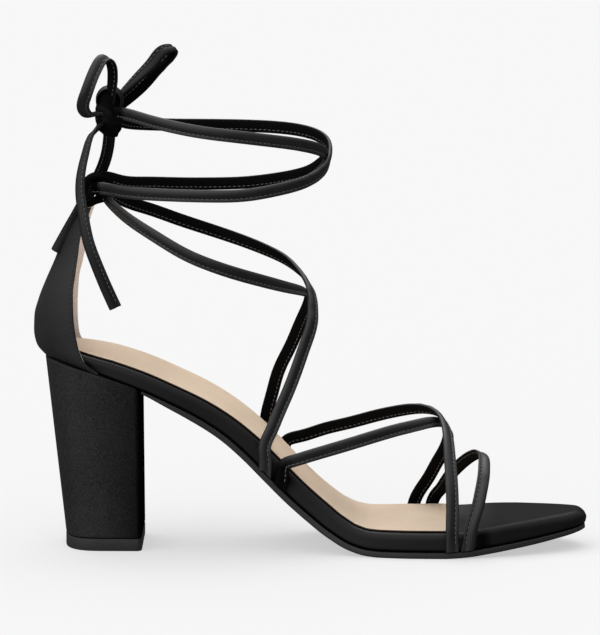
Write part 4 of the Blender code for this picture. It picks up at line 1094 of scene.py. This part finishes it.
def addFootbed():
    # wrapped board: flat under, upright sides that tuck in below, quarter-round rim, level top
    x = stationsFrom(sole["heelEnd"])[:, None]
    wide = {inner: soleAt("inner", x), outer: soleAt("outer", x)}
    small = np.minimum(1.0, (wide[inner] + wide[outer]) / footbed["fullWidth"])
    nearEnd = np.minimum(x - sole["heelEnd"], sole["toeEnd"] - x)
    toToe = ramp(x, footbed["growthStart"], sole["toeEnd"])
    radius = footbed["rim"] * (1 + footbed["rimGrowth"] * toToe)
    inside = np.clip(radius - nearEnd, 0.0, radius)
    top = soleAt("board", x) - (radius - np.sqrt(radius**2 - inside**2))
    turn = np.linspace(0, math.pi / 2, footbed["rimSteps"])[None]
    low = np.linspace(0, 1, footbed["lowSteps"])[None]
    rim = radius * small
    topInsets = [rim + amount * small for amount in footbed["topInsets"]]
    inset = np.concatenate([footbed["underInset"] * small, footbed["lowInset"] * small * (1 - low)**2,
                            0.0 * x, 0.0 * x, rim * (1 - np.cos(turn)), *topInsets], axis=1)
    height = np.concatenate([0.0 * x, footbed["lowRound"] * low * small, footbed["sideHeight"] * top,
                             top - footbed["rimStart"] * rim, top - rim * (1 - np.sin(turn)),
                             top, top], axis=1)
    share = height / top
    flank = fraction(1 - np.abs(share - footbed["flankMiddle"]) / footbed["flankHalf"])
    halves = {}
    shades = {}
    for side in (inner, outer):
        dip = 0.0 * x
        dark = 0.0 * x
        for which, place, half, depth in footbed["dips"]:
            dip = dip + (which == side) * depth * np.exp(-((x - place) / half)**2)
        # painted shadows beside strap ends, strongest halfway up the side
        for which, place, half, depth in footbed["paintedShadows"]:
            dark = dark + (which == side) * depth * np.exp(-((x - place) / half)**4)
        halves[side] = side * (wide[side] - inset - dip * flank)
        shades[side] = dark * fraction(flank * footbed["paintedShadowGain"])
    middle = (wide[outer] - wide[inner]) / 2
    y = np.concatenate([halves[inner], middle, halves[outer][:, ::-1], middle], axis=1)
    level = np.concatenate([height, top, height[:, ::-1], 0.0 * x], axis=1)
    # painted shade on the top of the toe, carried up onto the top of the rim
    paintedShade = footbed["toePaintedShade"] * ramp(x, footbed["toeStart"], footbed["toeFull"])
    paintedShadeNearTop = paintedShade * fraction((share - footbed["topStart"]) / footbed["topFade"])
    edges = [np.maximum(shades[side], paintedShadeNearTop) for side in (inner, outer)]
    shade = np.concatenate([edges[0], paintedShade, edges[1][:, ::-1], 0.0 * x], axis=1)
    rings = onSole(x, y, level)
    toTip = ramp(x, footbed["bulgeStart"], sole["toeEnd"])
    rings[..., 0] += footbed["bulge"] * toTip * np.sqrt(fraction(level / footbed["bulgeHeight"]))
    addLoft("footbed", np.roll(rings, 1, axis=1), footbedHide, np.roll(shade, 1, axis=1))


addOutsole()
addFootbed()
print("outsole and footbed")


# Sock lining: beige sheet on the footbed, with a slanting front edge behind the toe strap

sock = {
    "thickness": 0.7, "gap": 0.5, "inset": 3.0, "heelRound": 24.0, "frontInner": 64.0, "frontOuter": 57.5,
    "firstRow": 0.15, "rows": 190, "columns": 61, "edgeRound": 0.4, "roundReach": 0.9, "darkReach": 0.35,
    "toSide": 30.0, "toFront": 170.0, "toBack": 2.0,  # turn shares of the sheet into distances from its edges
}


def addSock():
    # across runs from -1 to 1 with its columns closer at the edges; the edges are rolled down a little
    across = np.sin(np.linspace(-0.5, 0.5, sock["columns"]) * math.pi)
    along = np.linspace(0, 1, sock["rows"])[:, None]
    front = sock["frontInner"] + (sock["frontOuter"] - sock["frontInner"]) * (across + 1) / 2
    back = sole["heelEnd"] + sock["inset"]
    start = float(soleAngle(back + sock["firstRow"]))
    span = sole["toeEnd"] - sole["heelEnd"]
    x = sole["heelEnd"] + span * (1 - np.cos(start + along * (soleAngle(front) - start))) / 2
    nearHeel = np.sqrt(1 - fraction(1 - (x - back) / sock["heelRound"])**2)
    half = np.where(across < 0, soleAt("inner", x), soleAt("outer", x)) - sock["inset"]
    y = across * half * nearHeel
    toEnds = np.minimum((1 - along) * sock["toFront"], (x - back) * sock["toBack"])
    toEdge = np.minimum((1 - np.abs(across)) * sock["toSide"] * nearHeel, toEnds)
    rolled = fraction(1 - toEdge / sock["roundReach"])**2
    floor = soleAt("board", x) + sock["gap"]
    under = onSole(x, y, floor)
    top = onSole(x, y, floor + sock["thickness"] - sock["edgeRound"] * rolled)
    shade = fraction(1 - toEdge / sock["darkReach"])
    addSheet("sock_lining", top, under, (shade, 0 * shade + 1), beigeSock, "sock_lining")


addSock()
print("sock lining")


# Heel counter: black leather outside, beige lining inside, and the tab that folds over into the tunnel

counter = {
    "columns": ("backX", "backZ", "frontX", "frontZ", "half", "reach"),
    "rows": (
        (-110.7, 80.9, -87.6, 75.9, 26.0, 0.0), (-113.1, 83.0, -92.6, 79.6, 26.7, -1.0),
        (-114.8, 86.0, -95.2, 84.2, 27.0, -2.0), (-115.6, 91.0, -97.0, 92.0, 27.0, -1.2),
        (-115.4, 97.0, -98.0, 100.5, 26.5, -0.2), (-113.6, 104.0, -98.2, 109.0, 25.3, 0.6),
        (-110.5, 112.0, -97.3, 117.0, 23.3, 1.5), (-107.0, 120.0, -96.2, 125.0, 20.5, 2.0),
        (-103.9, 128.0, -95.4, 131.5, 17.0, 2.0), (-100.2, 136.5, -92.9, 138.5, 12.6, 1.4),
        (-96.6, 143.0, -91.0, 143.8, 8.8, 1.2),
    ),
    "wall": 2.0, "outerWall": 1.15, "liningGap": 0.04, "sweep": math.radians(80), "across": 121, "levels": 90,
    "edgeRound": 0.45, "roundReach": 0.8, "underRound": 0.5,
    "toSide": 24.0, "toTop": 7.0,  # turn radians and levels into distances from the free edges
    "stitchInset": 1.5, "lowStitch": 0.35, "highStitch": 9.4, "stitchMargin": 1.0, "samples": 400,
    "probe": 0.05, "depthProbe": 0.5,
    # painted shade: the lining dark below a level, the outside dimmer above one
    "darkBelow": 1.5, "darkRate": 4.0, "dimAbove": 6.5, "dimReach": 3.0, "dim": 0.5,
    # soft troughs low on the back, where the leather is pulled over the seat: turn, level, widths, depth;
    # each has a low ridge on both sides
    "ridge": 0.4, "ridgeOff": 2,
    "troughs": ((-0.75, 1.0, 0.10, 0.9, 0.22), (-0.25, 0.8, 0.09, 0.8, 0.2), (0.3, 0.9, 0.1, 0.9, 0.22),
                (0.8, 1.0, 0.1, 0.8, 0.2)),
}


def counterPoint(level, turn, wall):
    # a face of the counter, a wall's thickness inside the outer one: level up the table, turn round the back
    level, turn = np.broadcast_arrays(np.asarray(level, float), np.asarray(turn, float))
    table = np.array(counter["rows"])
    rows = np.arange(len(table))
    value = {name: throughRows(rows, table[:, k], level) for k, name in enumerate(counter["columns"])}
    forward = (1 - np.cos(turn)) / (1 - math.cos(counter["sweep"]))
    across = np.sin(turn) / math.sin(counter["sweep"])
    back = value["backX"] + wall
    x = back + (value["frontX"] + value["reach"] * (turn > 0) - back) * forward
    y = (value["half"] - wall) * across
    z = value["backZ"] + (value["frontZ"] - value["backZ"]) * forward
    seat = soleAt("seat", x) - heel["seatGap"] + heel["gap"]
    return np.stack([x, y, np.where(level == 0, seat, z)], axis=-1)


def counterSheet(name, outside, inside, look):
    # the sheet between two faces, its free edges rounded towards each other; painted shade makes the lining
    # dark low down and the outside dimmer high up
    levels = np.linspace(0, len(counter["rows"]) - 1, counter["levels"])[:, None]
    turn = np.sin(np.linspace(-0.5, 0.5, counter["across"]) * math.pi)[None] * counter["sweep"]
    toSide = (counter["sweep"] - np.abs(turn)) * counter["toSide"]
    toEdge = np.minimum(toSide, (levels[-1] - levels) * counter["toTop"])
    rolled = fraction(1 - toEdge / counter["roundReach"])**2 * counter["edgeRound"]
    trough = 0.0 * levels * turn
    for place, level, wide, tall, depth in counter["troughs"]:
        offWide = (turn - place) / wide
        ridges = counter["ridge"] * np.exp(-(np.abs(offWide) - counter["ridgeOff"])**2)
        trough = trough + depth * (np.exp(-offWide**2) - ridges) * np.exp(-((levels - level) / tall)**2)
    top = counterPoint(levels, turn, outside + rolled + trough)
    under = counterPoint(levels, turn, inside - rolled * counter["underRound"])
    low = fraction((counter["darkBelow"] - levels) * counter["darkRate"]) * (outside > 0)
    high = fraction((levels - counter["dimAbove"]) / counter["dimReach"]) * counter["dim"] * (outside == 0)
    dark = low + high + 0.0 * turn
    addSheet(name, top, under, (dark, dark), look, "heel_counter")


def counterStitches():
    # one row beside each front edge, an even inset behind it
    rows = []
    levels = np.linspace(counter["lowStitch"], counter["highStitch"], counter["samples"])
    for side in (-1, 1):
        edge = np.full(len(levels), side * counter["sweep"])
        step = counterPoint(levels, edge - side * counter["probe"], 0.0) - counterPoint(levels, edge, 0.0)
        rate = np.linalg.norm(step, axis=1) / counter["probe"]
        turn = edge - side * counter["stitchInset"] / rate
        line = counterPoint(levels, turn, 0.0)
        outward = unit(line - counterPoint(levels, turn, counter["depthProbe"]))
        places = lengthsOf(line)
        at = np.arange(counter["stitchMargin"], places[-1] - counter["stitchMargin"], strap["stitchPitch"])
        ways = unit(np.gradient(line, axis=0))
        rows.append([sampled(at, places, values) for values in (line, ways, outward)])
    return rows


tab = {
    "half": 5.5, "thickness": 1.7, "centre": (-88.9, 150.9), "radii": (5.4, 4.9), "squareness": 3.0,
    "curve": 1.1, "step": 0.5, "cornerSteps": 4, "flatSteps": 12,
    "root": ((-99.6, 135.0), (-95.4, 141.0), (-92.2, 144.0)), "turn": (-75.0, 180.0), "turnSteps": 9,
    "flap": ((-95.4, 147.0), (-97.6, 142.4), (-101.1, 136.2), (-105.0, 129.2), (-107.4, 124.8)),
    "edge": 0.5, "stitchInset": 1.3, "stitchReach": 22.0, "flare": 2.5, "depth": 1.6, "dark": (0.95, 0.3),
    "bedding": 1.2, "bedReach": 3.0,
}


def tabLine():
    # side view of the tab: up the back, round the tunnel and down again as the flap
    angles = np.radians(np.linspace(*tab["turn"], tab["turnSteps"]))
    ways = np.column_stack([np.cos(angles), np.sin(angles)])
    bend = tab["centre"] + np.array(tab["radii"]) * np.sign(ways) * np.abs(ways)**(2 / tab["squareness"])
    flat = np.concatenate([tab["root"], bend, tab["flap"]])
    return curveThrough(np.column_stack([flat[:, 0], 0 * flat[:, 0], flat[:, 1]]), tab["step"])


def tabPoint(line, y, off):
    # places across the tab at an offset from its middle; behind the tunnel its edges wrap forward, and down
    # the flap they flare out. Its inner side is thicker there and in the tunnel's bed, to sit on the counter
    along = unit(np.gradient(line, axis=0))
    side = np.column_stack([-along[:, 2], 0 * along[:, 0], along[:, 0]])
    middleX, middleZ = tab["centre"]
    behind = fraction((middleX - line[:, 0]) / tab["radii"][0])
    fallen = ramp(line[:, 2], middleZ, tab["flap"][-1][1])
    pastTop = np.arange(len(line)) > line[:, 2].argmax()
    share = np.where(pastTop, fallen, 0.0)[:, None]
    fromBed = np.hypot(line[:, 0] - middleX, line[:, 2] - middleZ + tab["radii"][1])
    bed = np.where(pastTop, 0.0, fraction(1 - fromBed / tab["bedReach"]))[:, None] * tab["bedding"]
    wrap = (behind * tab["curve"])[:, None] * (y / tab["half"])**2
    wide = y * (1 + tab["flare"] / tab["half"] * share)
    thick = off * np.where(off > 0, 1 + tab["depth"] * share + bed, 1.0)
    points = line[:, None] + side[:, None] * thick[..., None]
    points = points + np.stack([wrap, wide, 0 * wrap], axis=-1)
    return points, along, side, share


def addTab():
    # the folded strip with rounded edges, and the rows of stitches down both sides of its flap
    line = tabLine()
    half = tab["half"]
    thick = tab["thickness"] / 2
    edge = tab["edge"]
    turn = np.linspace(0, math.pi / 2, tab["cornerSteps"])
    corner = np.column_stack([half - edge + edge * np.sin(turn), thick - edge + edge * np.cos(turn)])
    level = np.linspace(-half + edge, half - edge, tab["flatSteps"])[1:-1]
    flat = np.column_stack([level, np.full(len(level), thick)])
    profile = np.concatenate([flat, corner, corner[::-1] * (1, -1), flat[::-1] * (1, -1),
                              corner * (-1, -1), corner[::-1] * (-1, 1)])
    off = profile[None, :, 1] + np.zeros((len(line), 1))
    points, _, _, share = tabPoint(line, profile[None, :, 0], off)
    points = np.roll(points, -(len(flat) + len(corner) // 2), axis=1)
    # painted shade: near black at the tunnel, fading to lighter down the flap
    dark = tab["dark"][0] + (tab["dark"][1] - tab["dark"][0]) * share
    addPiece("heel_counter_tab", points, ringQuads(*points.shape[:2]), upperHide,
             ["heel_counter"], np.repeat(dark, points.shape[1]), sharp=50.0)
    places = lengthsOf(line)
    across = half - tab["stitchInset"]
    first = places[-1] - tab["stitchReach"]
    at = np.arange(first, places[-1] - tab["stitchInset"], strap["stitchPitch"])
    faces, along, side, _ = tabPoint(line, np.array([[-across, across]]), np.full((len(line), 2), -thick))
    ways = sampled(at, places, along)
    ups = sampled(at, places, -side)
    return [(sampled(at, places, faces[:, k]), ways, ups) for k in (0, 1)]


counterSheet("heel_counter", 0.0, counter["outerWall"], upperHide)
counterSheet("heel_counter_lining", counter["outerWall"] + counter["liningGap"], counter["wall"], paleLining)
addStitches("heel_counter_stitches", counterStitches() + addTab(), dullThread)
print("heel counter")
